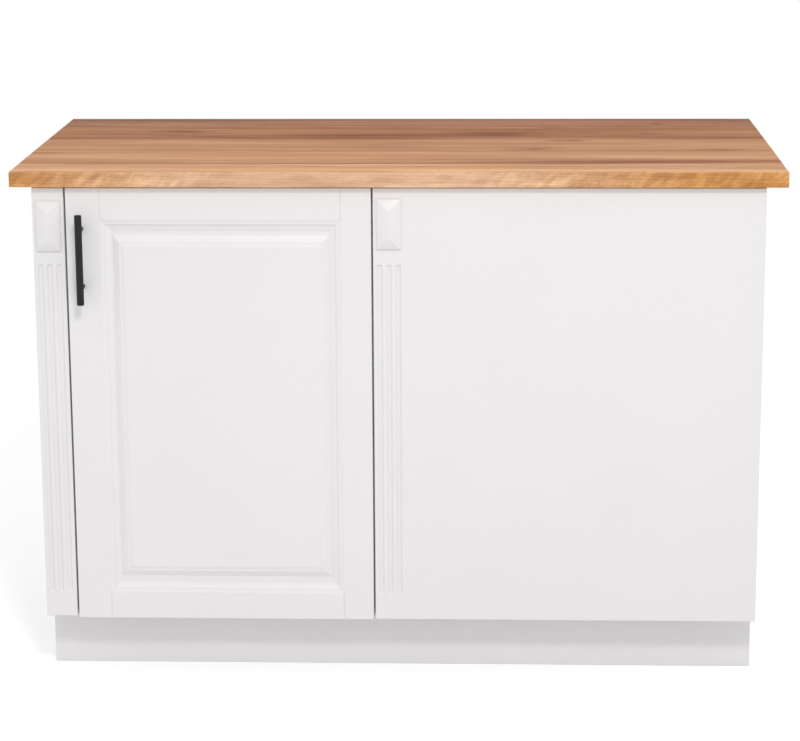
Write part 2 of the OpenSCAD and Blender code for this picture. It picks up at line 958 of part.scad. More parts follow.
module handle_bar() {
  color(black)
    translate([handle_x, bar_y_axis, handle_mid_z - bar_l / 2])
      rotate_extrude($fn = round_fn)
        polygon([[0, 0], [bar_d / 2 - bar_chamfer, 0], [bar_d / 2, bar_chamfer],
                 [bar_d / 2, bar_l - bar_chamfer], [bar_d / 2 - bar_chamfer, bar_l], [0, bar_l]]);
}

module handle_posts() {
  color(black)
    difference() {
      for (z = [handle_mid_z - handle_centres / 2, handle_mid_z + handle_centres / 2])
        bar_y(handle_x, bar_y_axis, front_y, z, handle_post_d / 2);
      bar_z(handle_x, bar_y_axis, handle_mid_z - bar_l / 2, handle_mid_z + bar_l / 2, bar_d / 2);
      at_handle_screws()
        cylinder(d = handle_screw_d, h = door_t + handle_screw_in + screw_end_gap, $fn = round_fn);
    }
}

module handle_screws() {
  color(steel)
    at_handle_screws()
      screw(handle_screw_d, door_t + handle_screw_in, handle_screw_head_d, handle_screw_head_h);
}

// Hinges. Each module takes the height of the hinge's middle.

cup_x = door_x1 - cup_edge - cup_d / 2;

// A pivot's place in plan
function pivot(p) = [door_x1 - p[0], door_back_y + p[1]];

// A link between two pivots: two round eyes and the bar between them, from height z0 to z1
module link_blank(p, q, rp, rq, z0, z1) {
  a = pivot(p);
  b = pivot(q);
  v = b - a;
  n = [-v[1], v[0]] / norm(v) * link_half;
  union() {
    bar_z(a[0], a[1], z0, z1, rp);
    bar_z(b[0], b[1], z0, z1, rq);
    translate([0, 0, z0])
      linear_extrude(z1 - z0)
        polygon([a + n, b + n, b - n, a - n]);
  }
}

// A round pin between two heights, at a pivot
module hinge_pin(p, z0, z1, r) {
  bar_z(pivot(p)[0], pivot(p)[1], z0, z1, r);
}

// Places a child at each cup screw, with Z into the door
module at_cup_screws(z) {
  for (s = [-1, 1])
    translate([cup_x - cup_screw_shift, door_back_y, z + s * cup_screw_centres / 2])
      rotate([90, 0, 0])
        children();
}

// A lug that rises from the cup's floor and holds a pin; z0 and z1 are heights above the middle
module lug(p, z0, z1, r) {
  c = pivot(p);
  floor_y = door_back_y - cup_depth;
  bar_z(c[0], c[1], z0, z1, r);
  board(c[0] - r, c[0] + r, floor_y, c[1], z0, z1);
}

module hinge_cup(z) {
  color(steel)
    difference() {
      union() {
        difference() {
          union() {
            bar_y(cup_x, door_back_y - cup_depth, door_back_y + flange_t, z, cup_d / 2);
            bar_y(cup_x, door_back_y, door_back_y + flange_t, z, cup_d / 2 + flange_lap);
            board(cup_x - cup_screw_shift - wing_w / 2, cup_x - cup_screw_shift + wing_w / 2,
                  door_back_y, door_back_y + flange_t,
                  z - cup_screw_centres / 2 - wing_w / 2, z + cup_screw_centres / 2 + wing_w / 2);
          }
          bar_y(cup_x, door_back_y - cup_depth + cup_wall, door_back_y + flange_t + past, z,
                cup_d / 2 - cup_wall);
          // The links leave the cup through this gap in its flange
          board(cup_x - cup_d, cup_x + cup_d, door_back_y, door_back_y + flange_t + past,
                z - outer_lug_in, z + outer_lug_in);
        }
        for (s = [-1, 1]) {
          lug(outer_cup_pivot, z + (s > 0 ? cheek_in : -lug_out), z + (s > 0 ? lug_out : -cheek_in), eye_r);
          lug(inner_cup_pivot, z + (s > 0 ? outer_lug_in : -outer_lug_out),
              z + (s > 0 ? outer_lug_out : -outer_lug_in), eye_r);
        }
      }
      cup_pin_set(z);
      at_cup_screws(z)
        translate([0, 0, -flange_t - past])
          cylinder(d = small_screw_d, h = flange_t + 2 * past, $fn = round_fn);
    }
}

module cup_screws(z) {
  color(steel)
    at_cup_screws(z)
      translate([0, 0, -flange_t])
        screw(small_screw_d, flange_t + small_screw_l - screw_end_gap, small_head_d, small_head_h);
}

module cup_pin_set(z) {
  hinge_pin(outer_cup_pivot, z - lug_out, z + lug_out, pin_d / 2);
  hinge_pin(inner_cup_pivot, z - outer_lug_out, z - inner_link_in + pin_over, pin_d / 2);
  hinge_pin(inner_cup_pivot, z + inner_link_in - pin_over, z + outer_lug_out, pin_d / 2);
}

module cup_pins(z) {
  color(steel)
    cup_pin_set(z);
}

module inner_link(z) {
  color(steel)
    difference() {
      for (z0 = [z - inner_link_out, z + inner_link_in])
        link_blank(inner_arm_pivot, inner_cup_pivot, eye_r, eye_r, z0, z0 + inner_link_out - inner_link_in);
      for (p = [inner_arm_pivot, inner_cup_pivot])
        hinge_pin(p, z - cup_d, z + cup_d, pin_d / 2 + pin_clear);
    }
}

module outer_link(z) {
  color(steel)
    difference() {
      link_blank(outer_arm_pivot, outer_cup_pivot, eye_r, open_eye_r, z - outer_link_half, z + outer_link_half);
      hinge_pin(outer_arm_pivot, z - cup_d, z + cup_d, pin_d / 2 + pin_clear);
      hinge_pin(outer_cup_pivot, z - cup_d, z + cup_d, open_pivot_r);
    }
}

module arm_pin_set(z) {
  hinge_pin(inner_arm_pivot, z - inner_link_out - pin_over, z + inner_link_out + pin_over, pin_d / 2);
  hinge_pin(outer_arm_pivot, z - cheek_out, z + cheek_out, pin_d / 2);
}

module arm_pins(z) {
  color(steel)
    arm_pin_set(z);
}

plate_x = post_x0 - plate_t;
plate_mid_y = carcass_y + plate_setback;
arm_end_y = plate_mid_y + arm_tail;
arm_screw_y = plate_mid_y + arm_screw_back;

module hinge_arm(z) {
  a = pivot(inner_arm_pivot);
  c = pivot(outer_arm_pivot);
  x0 = a[0] - eye_r;
  slot_y = a[1] + 2 * eye_r;
  color(steel)
    difference() {
      translate([0, 0, z - cheek_out])
        linear_extrude(2 * cheek_out) {
          translate(a)
            circle(r = eye_r, $fn = round_fn);
          translate(c)
            circle(r = eye_r, $fn = round_fn);
          polygon([
            [x0, a[1]], c - [eye_r, 0], c + [eye_r, 0], [c[0] + eye_r, c[1] + eye_r],
            a + [eye_r + 1, arm_toe], [plate_x, plate_mid_y - arm_neck], [plate_x, arm_end_y],
            [plate_x - arm_t, arm_end_y], [plate_x - arm_t, plate_mid_y - arm_bend],
            [x0, a[1] + arm_heel]
          ]);
        }
      // The outer link swings between the two cheeks
      board(x0 - past, c[0] + cup_d, c[1] - cup_d, slot_y, z - cheek_in, z + cheek_in);
      arm_pin_set(z);
      bar_x(plate_x - arm_t - past, plate_x + past, arm_screw_y, z, arm_screw_d / 2);
    }
}

module arm_screw(z) {
  bar_x(plate_x - arm_t, post_x0, arm_screw_y, z, arm_screw_d / 2);
  bar_x(plate_x - arm_t - arm_screw_head_h, plate_x - arm_t, arm_screw_y, z, arm_screw_d);
}

// Places a child at each plate screw, with Z into the post
module at_plate_screws(z) {
  for (s = [-1, 1])
    translate([post_x0, plate_mid_y, z + s * plate_screw_centres / 2])
      rotate([0, 90, 0])
        children();
}

module mounting_plate(z) {
  half_h = cheek_out + plate_rim;
  wing_half = plate_screw_centres / 2 + plate_wing_end;
  color(steel)
    difference() {
      union() {
        board(plate_x, post_x0, plate_mid_y - plate_nose, arm_end_y + plate_tail, z - half_h, z + half_h);
        board(plate_x, post_x0, plate_mid_y - plate_wing_d / 2, plate_mid_y + plate_wing_d / 2,
              z - wing_half, z + wing_half);
      }
      at_plate_screws(z)
        translate([0, 0, -plate_t - past])
          cylinder(d = small_screw_d, h = plate_t + 2 * past, $fn = round_fn);
      bar_x(plate_x - past, post_x0 + past, arm_screw_y, z, arm_screw_d / 2);
    }
}

module plate_screws(z) {
  color(steel)
    at_plate_screws(z)
      translate([0, 0, -plate_t])
        screw(small_screw_d, plate_t + small_screw_l, small_head_d, small_head_h);
}

module upper_hinge_cup() { hinge_cup(upper_hinge_z); }
module upper_cup_screws() { cup_screws(upper_hinge_z); }
module upper_cup_pins() { cup_pins(upper_hinge_z); }
module upper_inner_link() { inner_link(upper_hinge_z); }
module upper_outer_link() { outer_link(upper_hinge_z); }
module upper_arm_pins() { arm_pins(upper_hinge_z); }
module upper_hinge_arm() { hinge_arm(upper_hinge_z); }
module upper_arm_screw() { color(steel) arm_screw(upper_hinge_z); }
module upper_mounting_plate() { mounting_plate(upper_hinge_z); }
module upper_plate_screws() { plate_screws(upper_hinge_z); }
module lower_hinge_cup() { hinge_cup(lower_hinge_z); }
module lower_cup_screws() { cup_screws(lower_hinge_z); }
module lower_cup_pins() { cup_pins(lower_hinge_z); }
module lower_inner_link() { inner_link(lower_hinge_z); }
module lower_outer_link() { outer_link(lower_hinge_z); }
module lower_arm_pins() { arm_pins(lower_hinge_z); }
module lower_hinge_arm() { hinge_arm(lower_hinge_z); }
module lower_arm_screw() { color(steel) arm_screw(lower_hinge_z); }
module lower_mounting_plate() { mounting_plate(lower_hinge_z); }
module lower_plate_screws() { plate_screws(lower_hinge_z); }

worktop();
side_left();
side_right();
bottom_panel();
back_panel();
top_rail_front();
top_rail_rear();
hinge_post();
shelf();
shelf_pins();
left_pilaster();
left_capital();
blind_panel();
centre_capital();
left_cleat();
right_cleat();
front_screws();
plinth_front();
plinth_rear();
plinth_left();
plinth_right();
plinth_cross_rail();
plinth_blocks();
plinth_dowels();
carcass_dowels();
worktop_screws();
door_left_stile();
door_right_stile();
door_top_rail();
door_bottom_rail();
door_panel();
door_bumpers();
handle_bar();
handle_posts();
handle_screws();
upper_hinge_cup();
upper_cup_screws();
upper_cup_pins();
upper_inner_link();
upper_outer_link();
upper_arm_pins();
upper_hinge_arm();
upper_arm_screw();
upper_mounting_plate();
upper_plate_screws();
lower_hinge_cup();
lower_cup_screws();
lower_cup_pins();
lower_inner_link();
lower_outer_link();
lower_arm_pins();
lower_hinge_arm();
lower_arm_screw();
lower_mounting_plate();
lower_plate_screws();
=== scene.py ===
import json
import math

import bmesh
import bpy
from mathutils import Matrix, Vector

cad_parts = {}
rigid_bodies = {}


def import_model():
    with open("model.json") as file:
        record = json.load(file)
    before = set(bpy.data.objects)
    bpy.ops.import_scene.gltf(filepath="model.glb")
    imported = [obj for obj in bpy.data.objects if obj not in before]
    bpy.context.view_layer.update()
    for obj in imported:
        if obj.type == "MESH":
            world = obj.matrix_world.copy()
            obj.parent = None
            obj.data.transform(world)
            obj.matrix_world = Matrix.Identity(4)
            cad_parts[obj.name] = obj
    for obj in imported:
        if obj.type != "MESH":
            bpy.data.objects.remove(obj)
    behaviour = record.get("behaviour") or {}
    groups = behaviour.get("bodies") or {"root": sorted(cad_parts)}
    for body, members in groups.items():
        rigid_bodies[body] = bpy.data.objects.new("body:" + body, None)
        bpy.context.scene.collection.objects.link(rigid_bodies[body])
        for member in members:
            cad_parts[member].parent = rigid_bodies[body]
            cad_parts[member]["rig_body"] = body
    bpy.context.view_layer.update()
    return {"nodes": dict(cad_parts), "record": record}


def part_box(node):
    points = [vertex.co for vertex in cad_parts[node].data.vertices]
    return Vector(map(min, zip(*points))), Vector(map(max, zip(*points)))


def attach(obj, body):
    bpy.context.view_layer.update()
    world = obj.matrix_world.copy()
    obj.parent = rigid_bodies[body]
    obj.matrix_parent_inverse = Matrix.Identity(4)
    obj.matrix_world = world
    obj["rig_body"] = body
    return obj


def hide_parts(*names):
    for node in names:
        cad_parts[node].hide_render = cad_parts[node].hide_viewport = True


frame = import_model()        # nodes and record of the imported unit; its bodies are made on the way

nodes = frame["nodes"]
scene = bpy.context.scene
scene.view_settings.view_transform = "Standard"


# Helpers for node trees

def plug(tree, socket, value):
    if isinstance(value, bpy.types.NodeSocket):
        tree.links.new(value, socket)
    else:
        socket.default_value = value


def put(tree, kind, inputs=None, **settings):
    made = tree.nodes.new(kind)
    for name, value in settings.items():
        setattr(made, name, value)
    for key, value in (inputs or {}).items():
        plug(tree, made.inputs[key], value)
    return made


def calc(tree, operation, a, b=0.0, c=0.0):
    return put(tree, "ShaderNodeMath", {0: a, 1: b, 2: c}, operation=operation).outputs[0]


def calcVector(tree, operation, a, b=(0, 0, 0)):
    return put(tree, "ShaderNodeVectorMath", {0: a, 1: b}, operation=operation).outputs["Vector"]


def split(tree, vector):
    return put(tree, "ShaderNodeSeparateXYZ", {0: vector}).outputs


def noise(tree, vector, scale, detail=3.0, roughness=0.5, distortion=0.0):
    made = put(tree, "ShaderNodeTexNoise", {"Vector": vector, "Scale": scale, "Detail": detail,
                                            "Roughness": roughness, "Distortion": distortion})
    return made.outputs


def stretchedNoise(tree, place, stretch, *settings):
    return noise(tree, calcVector(tree, "MULTIPLY", place, stretch), 1.0, *settings)


def drift(tree, place, stretch, *settings):
    # Unrelated noises around nothing, one in each part of a vector
    colour = stretchedNoise(tree, place, stretch, *settings)["Color"]
    return split(tree, calcVector(tree, "SUBTRACT", colour, (0.5, 0.5, 0.5)))


# A noise lies mostly near the middle of 0 to 1, and spread stretches one of these parts of it
narrowPart = (0.35, 0.65)
widePart = (0.3, 0.7)


def spread(tree, value, low, high, toLow=0.0, toHigh=1.0):
    made = put(tree, "ShaderNodeMapRange", {0: value, 1: low, 2: high, 3: toLow, 4: toHigh},
               interpolation_type="SMOOTHSTEP")
    return made.outputs[0]


def blendColour(tree, factor, a, b, kind="MIX"):
    made = put(tree, "ShaderNodeMix", {0: factor, 6: a, 7: b}, data_type="RGBA", blend_type=kind)
    return made.outputs[2]


def ramp(tree, factor, stops):
    made = put(tree, "ShaderNodeValToRGB", {0: factor})
    band = made.color_ramp
    while len(band.elements) < len(stops):
        band.elements.new(0.5)
    for element, (place, colour) in zip(band.elements, stops):
        element.position = place
        element.color = (*colour, 1)
    return made.outputs["Color"]


def addBumps(tree, shader, layers):
    normal = None
    for height, depth in layers:
        bump = put(tree, "ShaderNodeBump", {"Height": height, "Distance": depth, "Strength": 1.0})
        if normal:
            tree.links.new(normal, bump.inputs["Normal"])
        normal = bump.outputs["Normal"]
    tree.links.new(normal, shader.inputs["Normal"])


def startMaterial(name, **sockets):
    material = bpy.data.materials.new(name)
    material.use_nodes = True
    tree = material.node_tree
    shader = tree.nodes["Principled BSDF"]
    for key, value in sockets.items():
        shader.inputs[key].default_value = value
    place = put(tree, "ShaderNodeTexCoord").outputs["Object"]
    return material, tree, shader, place


def rgba(colour):
    return (*colour, 1.0)


# Camera, at the height and angle of the photograph

cameraLook = {
    "place": (0.153, -4.304, 1.495),
    "yaw": 2.23,
    "pitch": -12.75,
    "roll": -0.32,
    "lens": 112.0,
    "sensorWidth": 36.0,
    "shiftX": 0.005,
    "shiftY": -0.04,
}


def makeCamera(look):
    data = bpy.data.cameras.new("photoCamera")
    data.lens = look["lens"]
    data.sensor_width = look["sensorWidth"]
    data.shift_x = look["shiftX"]
    data.shift_y = look["shiftY"]
    camera = bpy.data.objects.new("photoCamera", data)
    scene.collection.objects.link(camera)
    turn = (Matrix.Rotation(math.radians(look["yaw"]), 4, "Z")
            @ Matrix.Rotation(math.radians(90 + look["pitch"]), 4, "X")
            @ Matrix.Rotation(math.radians(look["roll"]), 4, "Z"))
    camera.matrix_world = Matrix.Translation(look["place"]) @ turn
    scene.camera = camera


# Studio: pale floor, even sky and one soft lamp high in front, a little to the right

studioLook = {
    "skyColour": (1.0, 0.996, 0.992),
    "skyStrength": 0.83,
    "backdropStrength": 1.0,
    "floorColour": (0.84, 0.84, 0.84),
    "floorShade": 0.99,
    "floorCloudScale": 1.5,
    "floorRoughness": 0.9,
    "floorLift": 0.30,
    "floorHalf": 14.0,
    "floorDrop": 0.0003,
    "whiteFrom": 0.9,
    "whiteTo": 2.6,
    "keyEnergy": 49.0,
    "keySize": 0.6,
    "keyPlace": (0.55, -3.30, 3.50),
    "keyAim": (0.0, -0.3, 0.5),
}


def seenDirectly(tree):
    # 1 for what the camera sees, also in a reflection or through glass
    path = put(tree, "ShaderNodeLightPath").outputs
    seen = calc(tree, "MAXIMUM", path["Is Camera Ray"], path["Is Glossy Ray"])
    return calc(tree, "MAXIMUM", seen, path["Is Transmission Ray"])


def makeSky(look):
    world = bpy.data.worlds.new("studioSky")
    world.use_nodes = True
    scene.world = world
    tree = world.node_tree
    tree.nodes.clear()
    light = put(tree, "ShaderNodeBackground",
                {"Color": rgba(look["skyColour"]), "Strength": look["skyStrength"]})
    backdrop = put(tree, "ShaderNodeBackground",
                   {"Color": (1, 1, 1, 1), "Strength": look["backdropStrength"]})
    both = put(tree, "ShaderNodeMixShader",
               {0: seenDirectly(tree), 1: light.outputs[0], 2: backdrop.outputs[0]})
    put(tree, "ShaderNodeOutputWorld", {0: both.outputs[0]})


def makeFloor(look):
    half = look["floorHalf"]
    mesh = bpy.data.meshes.new("paleFloor")
    z = -look["floorDrop"]
    corners = [(-half, -half, z), (half, -half, z), (half, half, z), (-half, half, z)]
    mesh.from_pydata(corners, [], [(0, 1, 2, 3)])
    floor = bpy.data.objects.new("paleFloor", mesh)
    scene.collection.objects.link(floor)
    material, tree, shader, place = startMaterial("paleFloor", Roughness=look["floorRoughness"])
    shader.inputs["Specular IOR Level"].default_value = 0.0
    cloud = noise(tree, place, look["floorCloudScale"])["Fac"]
    shade = rgba([part * look["floorShade"] for part in look["floorColour"]])
    tone = blendColour(tree, cloud, rgba(look["floorColour"]), shade)
    tree.links.new(tone, shader.inputs["Base Color"])
    # what the camera sees fades to plain white away from the unit; light on the unit is untouched
    seen = seenDirectly(tree)
    lift = put(tree, "ShaderNodeEmission", {"Strength": calc(tree, "MULTIPLY", seen, look["floorLift"])})
    near = put(tree, "ShaderNodeAddShader", {0: shader.outputs[0], 1: lift.outputs[0]})
    away = put(tree, "ShaderNodeVectorMath", {0: place}, operation="LENGTH").outputs["Value"]
    fade = calc(tree, "MULTIPLY", seen, spread(tree, away, look["whiteFrom"], look["whiteTo"]))
    white = put(tree, "ShaderNodeEmission", {"Strength": look["backdropStrength"]})
    both = put(tree, "ShaderNodeMixShader", {0: fade, 1: near.outputs[0], 2: white.outputs[0]})
    tree.links.new(both.outputs[0], tree.nodes["Material Output"].inputs["Surface"])
    mesh.materials.append(material)


def makeKeyLamp(look):
    data = bpy.data.lights.new("softKey", "AREA")
    data.shape = "DISK"
    data.size = look["keySize"]
    data.energy = look["keyEnergy"]
    lamp = bpy.data.objects.new("softKey", data)
    scene.collection.objects.link(lamp)
    lamp.location = look["keyPlace"]
    lamp.visible_camera = False
    towards = Vector(look["keyPlace"]) - Vector(look["keyAim"])
    lamp.rotation_euler = towards.to_track_quat("Z", "Y").to_euler()


makeCamera(cameraLook)
makeSky(studioLook)
makeFloor(studioLook)
makeKeyLamp(studioLook)
print("camera, floor and light are ready")


# White satin paint on the fronts, sides, back and plinth

paintLook = {
    "clean": (0.822, 0.808, 0.812),
    "cloudy": (0.804, 0.789, 0.793),
    "cloudScale": 2.4,
    "gloss": (0.36, 0.46),
    "peelScale": 620.0,
    "peelDepth": 0.00005,
    "swellScale": 34.0,
    "swellDepth": 0.00022,
    "speckScale": 190.0,
    "speckShare": 0.25,
}


def satinPaint(look):
    material, tree, shader, place = startMaterial("satinPaint", IOR=1.46)
    cloud = noise(tree, place, look["cloudScale"], 4)["Fac"]
    speck = noise(tree, place, look["speckScale"], 2)["Fac"]
    rest = calc(tree, "MULTIPLY", cloud, 1 - look["speckShare"])
    mixed = calc(tree, "MULTIPLY_ADD", speck, look["speckShare"], rest)
    tone = blendColour(tree, spread(tree, mixed, *narrowPart), rgba(look["clean"]), rgba(look["cloudy"]))
    tree.links.new(tone, shader.inputs["Base Color"])
    tree.links.new(spread(tree, mixed, *widePart, *look["gloss"]), shader.inputs["Roughness"])
    peel = noise(tree, place, look["peelScale"], 2, 0.6)["Fac"]
    swell = noise(tree, place, look["swellScale"], 2)["Fac"]
    addBumps(tree, shader, [(swell, look["swellDepth"]), (peel, look["peelDepth"])])
    return material


# White laminated board inside the cabinet

boardLook = {
    "base": (0.800, 0.800, 0.795),
    "shade": (0.775, 0.775, 0.770),
    "pearlScale": 900.0,
    "pearlDepth": 0.00004,
    "cloudScale": 3.0,
    "gloss": (0.40, 0.52),
}


def whiteBoard(look):
    material, tree, shader, place = startMaterial("whiteBoard", IOR=1.5)
    cloud = noise(tree, place, look["cloudScale"], 4)["Fac"]
    pearl = noise(tree, place, look["pearlScale"], 3, 0.6)["Fac"]
    tone = blendColour(tree, cloud, rgba(look["base"]), rgba(look["shade"]))
    tree.links.new(tone, shader.inputs["Base Color"])
    tree.links.new(spread(tree, pearl, *widePart, *look["gloss"]), shader.inputs["Roughness"])
    addBumps(tree, shader, [(pearl, look["pearlDepth"])])
    return material


# Planed softwood of the hidden post, cleats, blocks and dowels. Grain is the stretch along each axis.

timberLook = {
    "early": (0.70, 0.52, 0.32),
    "late": (0.50, 0.31, 0.15),
    "streak": (0.61, 0.42, 0.24),
    "streakAt": 0.70,
    "lateAt": 0.93,
    "rings": 14.0,
    "ringStart": 1.0,
    "swirlScale": 2.2,
    "fibreStretch": 60,
    "fibreScale": 2.0,
    "fibrePart": (0.35, 0.70),
    "fibreShade": 0.35,
    "fibreDepth": 0.00008,
    "roughness": 0.62,
}
grainUp = (5.0, 5.0, 0.45)
grainDeep = (5.0, 0.45, 5.0)


def plainTimber(name, look, grain):
    material, tree, shader, place = startMaterial(name, Roughness=look["roughness"])
    along = calcVector(tree, "MULTIPLY", place, grain)
    swirl = noise(tree, along, look["swirlScale"], 2)["Fac"]
    rings = calc(tree, "FRACT", calc(tree, "MULTIPLY_ADD", swirl, look["rings"], look["ringStart"]))
    wood = ramp(tree, rings, [(0.0, look["early"]), (look["streakAt"], look["streak"]),
                              (look["lateAt"], look["late"]), (1.0, look["early"])])
    thin = calcVector(tree, "MULTIPLY", place, [part * look["fibreStretch"] for part in grain])
    fibre = noise(tree, thin, look["fibreScale"], 4, 0.65)["Fac"]
    shade = spread(tree, fibre, *look["fibrePart"], 0.0, look["fibreShade"])
    tone = blendColour(tree, shade, wood, rgba(look["streak"]), "MULTIPLY")
    tree.links.new(tone, shader.inputs["Base Color"])
    addBumps(tree, shader, [(fibre, look["fibreDepth"])])
    return material


# Black powder coat of the handle

blackLook = {
    "base": (0.0080, 0.0072, 0.0075),
    "lift": (0.0130, 0.0118, 0.0122),
    "specular": 0.32,
    "grainScale": 1500.0,
    "grainDepth": 0.00003,
    "gloss": (0.40, 0.52),
}


def blackCoat(look):
    material, tree, shader, place = startMaterial("blackCoat", IOR=1.5)
    shader.inputs["Specular IOR Level"].default_value = look["specular"]
    grain = noise(tree, place, look["grainScale"], 3, 0.6)["Fac"]
    tone = blendColour(tree, grain, rgba(look["base"]), rgba(look["lift"]))
    tree.links.new(tone, shader.inputs["Base Color"])
    tree.links.new(spread(tree, grain, *widePart, *look["gloss"]), shader.inputs["Roughness"])
    addBumps(tree, shader, [(grain, look["grainDepth"])])
    return material


# Plated steel: nickel on the pressed hinge parts, zinc on screws and pins

nickelLook = {
    "bright": (0.66, 0.65, 0.62),
    "dull": (0.52, 0.51, 0.49),
    "gloss": (0.20, 0.36),
    "brush": (60.0, 60.0, 1600.0),
    "brushShare": 0.4,
    "brushDepth": 0.00002,
    "cloudScale": 90.0,
}
zincLook = {
    "bright": (0.62, 0.64, 0.66),
    "dull": (0.46, 0.47, 0.48),
    "gloss": (0.30, 0.46),
    "brush": (700.0, 700.0, 700.0),
    "brushShare": 0.4,
    "brushDepth": 0.00002,
    "cloudScale": 90.0,
}


def platedSteel(name, look):
    material, tree, shader, place = startMaterial(name, Metallic=1.0)
    brushed = stretchedNoise(tree, place, look["brush"], 3, 0.6)["Fac"]
    cloud = noise(tree, place, look["cloudScale"], 3)["Fac"]
    rest = calc(tree, "MULTIPLY", cloud, 1 - look["brushShare"])
    mixed = calc(tree, "MULTIPLY_ADD", brushed, look["brushShare"], rest)
    tone = blendColour(tree, spread(tree, mixed, *narrowPart), rgba(look["bright"]), rgba(look["dull"]))
    tree.links.new(tone, shader.inputs["Base Color"])
    tree.links.new(spread(tree, mixed, *widePart, *look["gloss"]), shader.inputs["Roughness"])
    addBumps(tree, shader, [(brushed, look["brushDepth"])])
    return material


# Milky soft plastic of the door's bumpers

bumperLook = {
    "base": (0.78, 0.79, 0.78),
    "yellowed": (0.74, 0.74, 0.70),
    "speckScale": 800.0,
    "gloss": (0.22, 0.34),
    "milkiness": 0.25,
    "milkReach": 0.002,
}


def softPlastic(look):
    material, tree, shader, place = startMaterial("softPlastic", IOR=1.48)
    shader.inputs["Subsurface Weight"].default_value = look["milkiness"]
    shader.inputs["Subsurface Radius"].default_value = [look["milkReach"]] * 3
    speck = noise(tree, place, look["speckScale"], 2)["Fac"]
    tone = blendColour(tree, speck, rgba(look["base"]), rgba(look["yellowed"]))
    tree.links.new(tone, shader.inputs["Base Color"])
    tree.links.new(spread(tree, speck, *widePart, *look["gloss"]), shader.inputs["Roughness"])
    return material


# Oiled oak. Each stave is a piece of solid wood around its own pith, so rings run through all its faces.
# A stretch says how often a pattern repeats in a metre, along the stave, across it and up.
# A mark is a knot, a dark streak or a light one, and the last mark is a painted highlight along the front,
# in metres:
# (x, y, half length, half width, slope, strength, push on the grain)

oakLook = {
    "pale": (0.592, 0.317, 0.170),
    "stain": (0.62, 0.53, 0.52),
    "edgeMiddle": (1.17, 1.35, 1.55),
    "edgeEnds": (0.95, 0.84, 0.51),
    "edgeCentre": -0.09,
    "edgeFade": (0.20, 0.62),       # metres from the centre
    "edgeTurn": (0.45, 0.75),       # how much a face points sideways before it counts as an edge
    "ringWidth": 0.0052,
    "ringStain": 0.42,
    "edgeRingStain": 0.18,
    "unevenRings": 2.2,
    "unevenStretch": (0.3, 26, 26),
    "lateWood": (0.25, 0.92),       # part of a ring over which it darkens
    "bandStain": 1.5,
    "bandStretch": (2.4, 24, 24),
    "streakStain": 1.2,
    "streakStretch": (1.6, 75, 75),
    "fibreStain": 0.45,
    "fibreStretch": (9, 760, 760),
    "poreStain": 0.55,
    "poreStretch": (55, 1900, 1900),
    "poreCut": (0.60, 0.70),        # part of the noise that makes a pore
    "earlyPart": (0.2, 0.9),
    "latePores": 0.25,              # how much of a pore is left in the late wood
    "poreMiddle": 0.06,
    "cloudStain": 1.1,
    "cloudStretch": (13, 60, 80),
    "fleckStain": 2.2,
    "fleckLean": 0.9,
    "fleckStretch": (56, 40, 44),
    "fleckTwist": 0.7,
    "fleckFade": (0.10, 0.45),
    "fleckLeast": 0.2,
    "sway": 0.022,
    "swayStretch": (1.5, 11, 11),
    "markAndHighlightStrength": 1.45,
    "markWander": (0.060, 0.010),
    "wanderStretch": (14, 60, 60),
    "pushFade": 0.22,
    "gloss": (0.52, 0.68),
    "poreDepth": 0.00012,
    "ringDepth": 0.00005,
    "specular": 0.03,
    "marksAndHighlight": [
        (-0.420, 0.310, 0.240, 0.016, 0, 0.48, 0),
        (0.300, 0.318, 0.400, 0.012, 0, 0.20, 0),
        (-0.250, 0.252, 0.420, 0.017, 0, -0.28, 0),
        (-0.310, 0.202, 0.100, 0.012, 0, 0.38, 0),
        (-0.150, 0.204, 0.055, 0.012, 0, 0.34, 0),
        (-0.020, 0.203, 0.055, 0.012, 0, 0.34, 0),
        (-0.450, 0.204, 0.100, 0.009, 0, 0.22, 0),
        (-0.402, 0.155, 0.045, 0.012, -0.05, 0.85, 0.01),
        (-0.540, 0.122, 0.110, 0.006, 0, 0.36, 0),
        (-0.357, 0.092, 0.110, 0.008, -0.237, 0.42, 0),
        (-0.102, 0.100, 0.190, 0.029, 0, 0.60, 0.004),
        (-0.087, 0.069, 0.170, 0.009, 0, 0.36, 0),
        (0.165, 0.124, 0.070, 0.027, 0, 0.62, 0.005),
        (0.258, 0.204, 0.020, 0.010, 0, 0.45, 0.005),
        (0.225, 0.173, 0.014, 0.008, 0, 0.30, 0),
        (0.322, 0.144, 0.028, 0.010, 0, 0.36, 0.004),
        (0.438, 0.131, 0.030, 0.011, 0, 0.42, 0.005),
        (0.458, 0.258, 0.005, 0.015, 0, 0.55, 0),
        (0.286, 0.042, 0.032, 0.014, 0, 0.60, 0.008),
        (0.302, 0.045, 0.009, 0.008, 0, 0.50, 0),
        (0.225, -0.060, 0.050, 0.025, 0, 0.30, 0.006),
        (0.232, -0.060, 0.012, 0.009, 0, 0.40, 0),
        (0.538, -0.065, 0.036, 0.017, 0, 0.36, 0.006),
        (-0.372, 0.039, 0.060, 0.008, 0, -0.28, 0),
        (-0.470, 0.012, 0.080, 0.010, 0.35, -0.14, 0),
        (-0.020, -0.019, 0.070, 0.044, 0, 0.22, 0),
        (-0.612, -0.102, 0.050, 0.010, 0, 0.36, 0),
        (0.320, -0.174, 0.330, 0.005, 0, 0.46, 0),
        (0.420, -0.205, 0.330, 0.017, 0.02, 0.98, 0),
        (-0.330, -0.150, 0.260, 0.040, 0, -0.16, 0),
        (-0.100, -0.224, 0.420, 0.005, 0, 0.55, 0),
        (0.000, -0.198, 0.250, 0.006, 0, -0.16, 0),
        # painted highlight: a light band along the whole front of the top, a little in from the front edge
        (0.000, -0.294, 0.900, 0.014, 0, -0.42, 0),
    ],
}


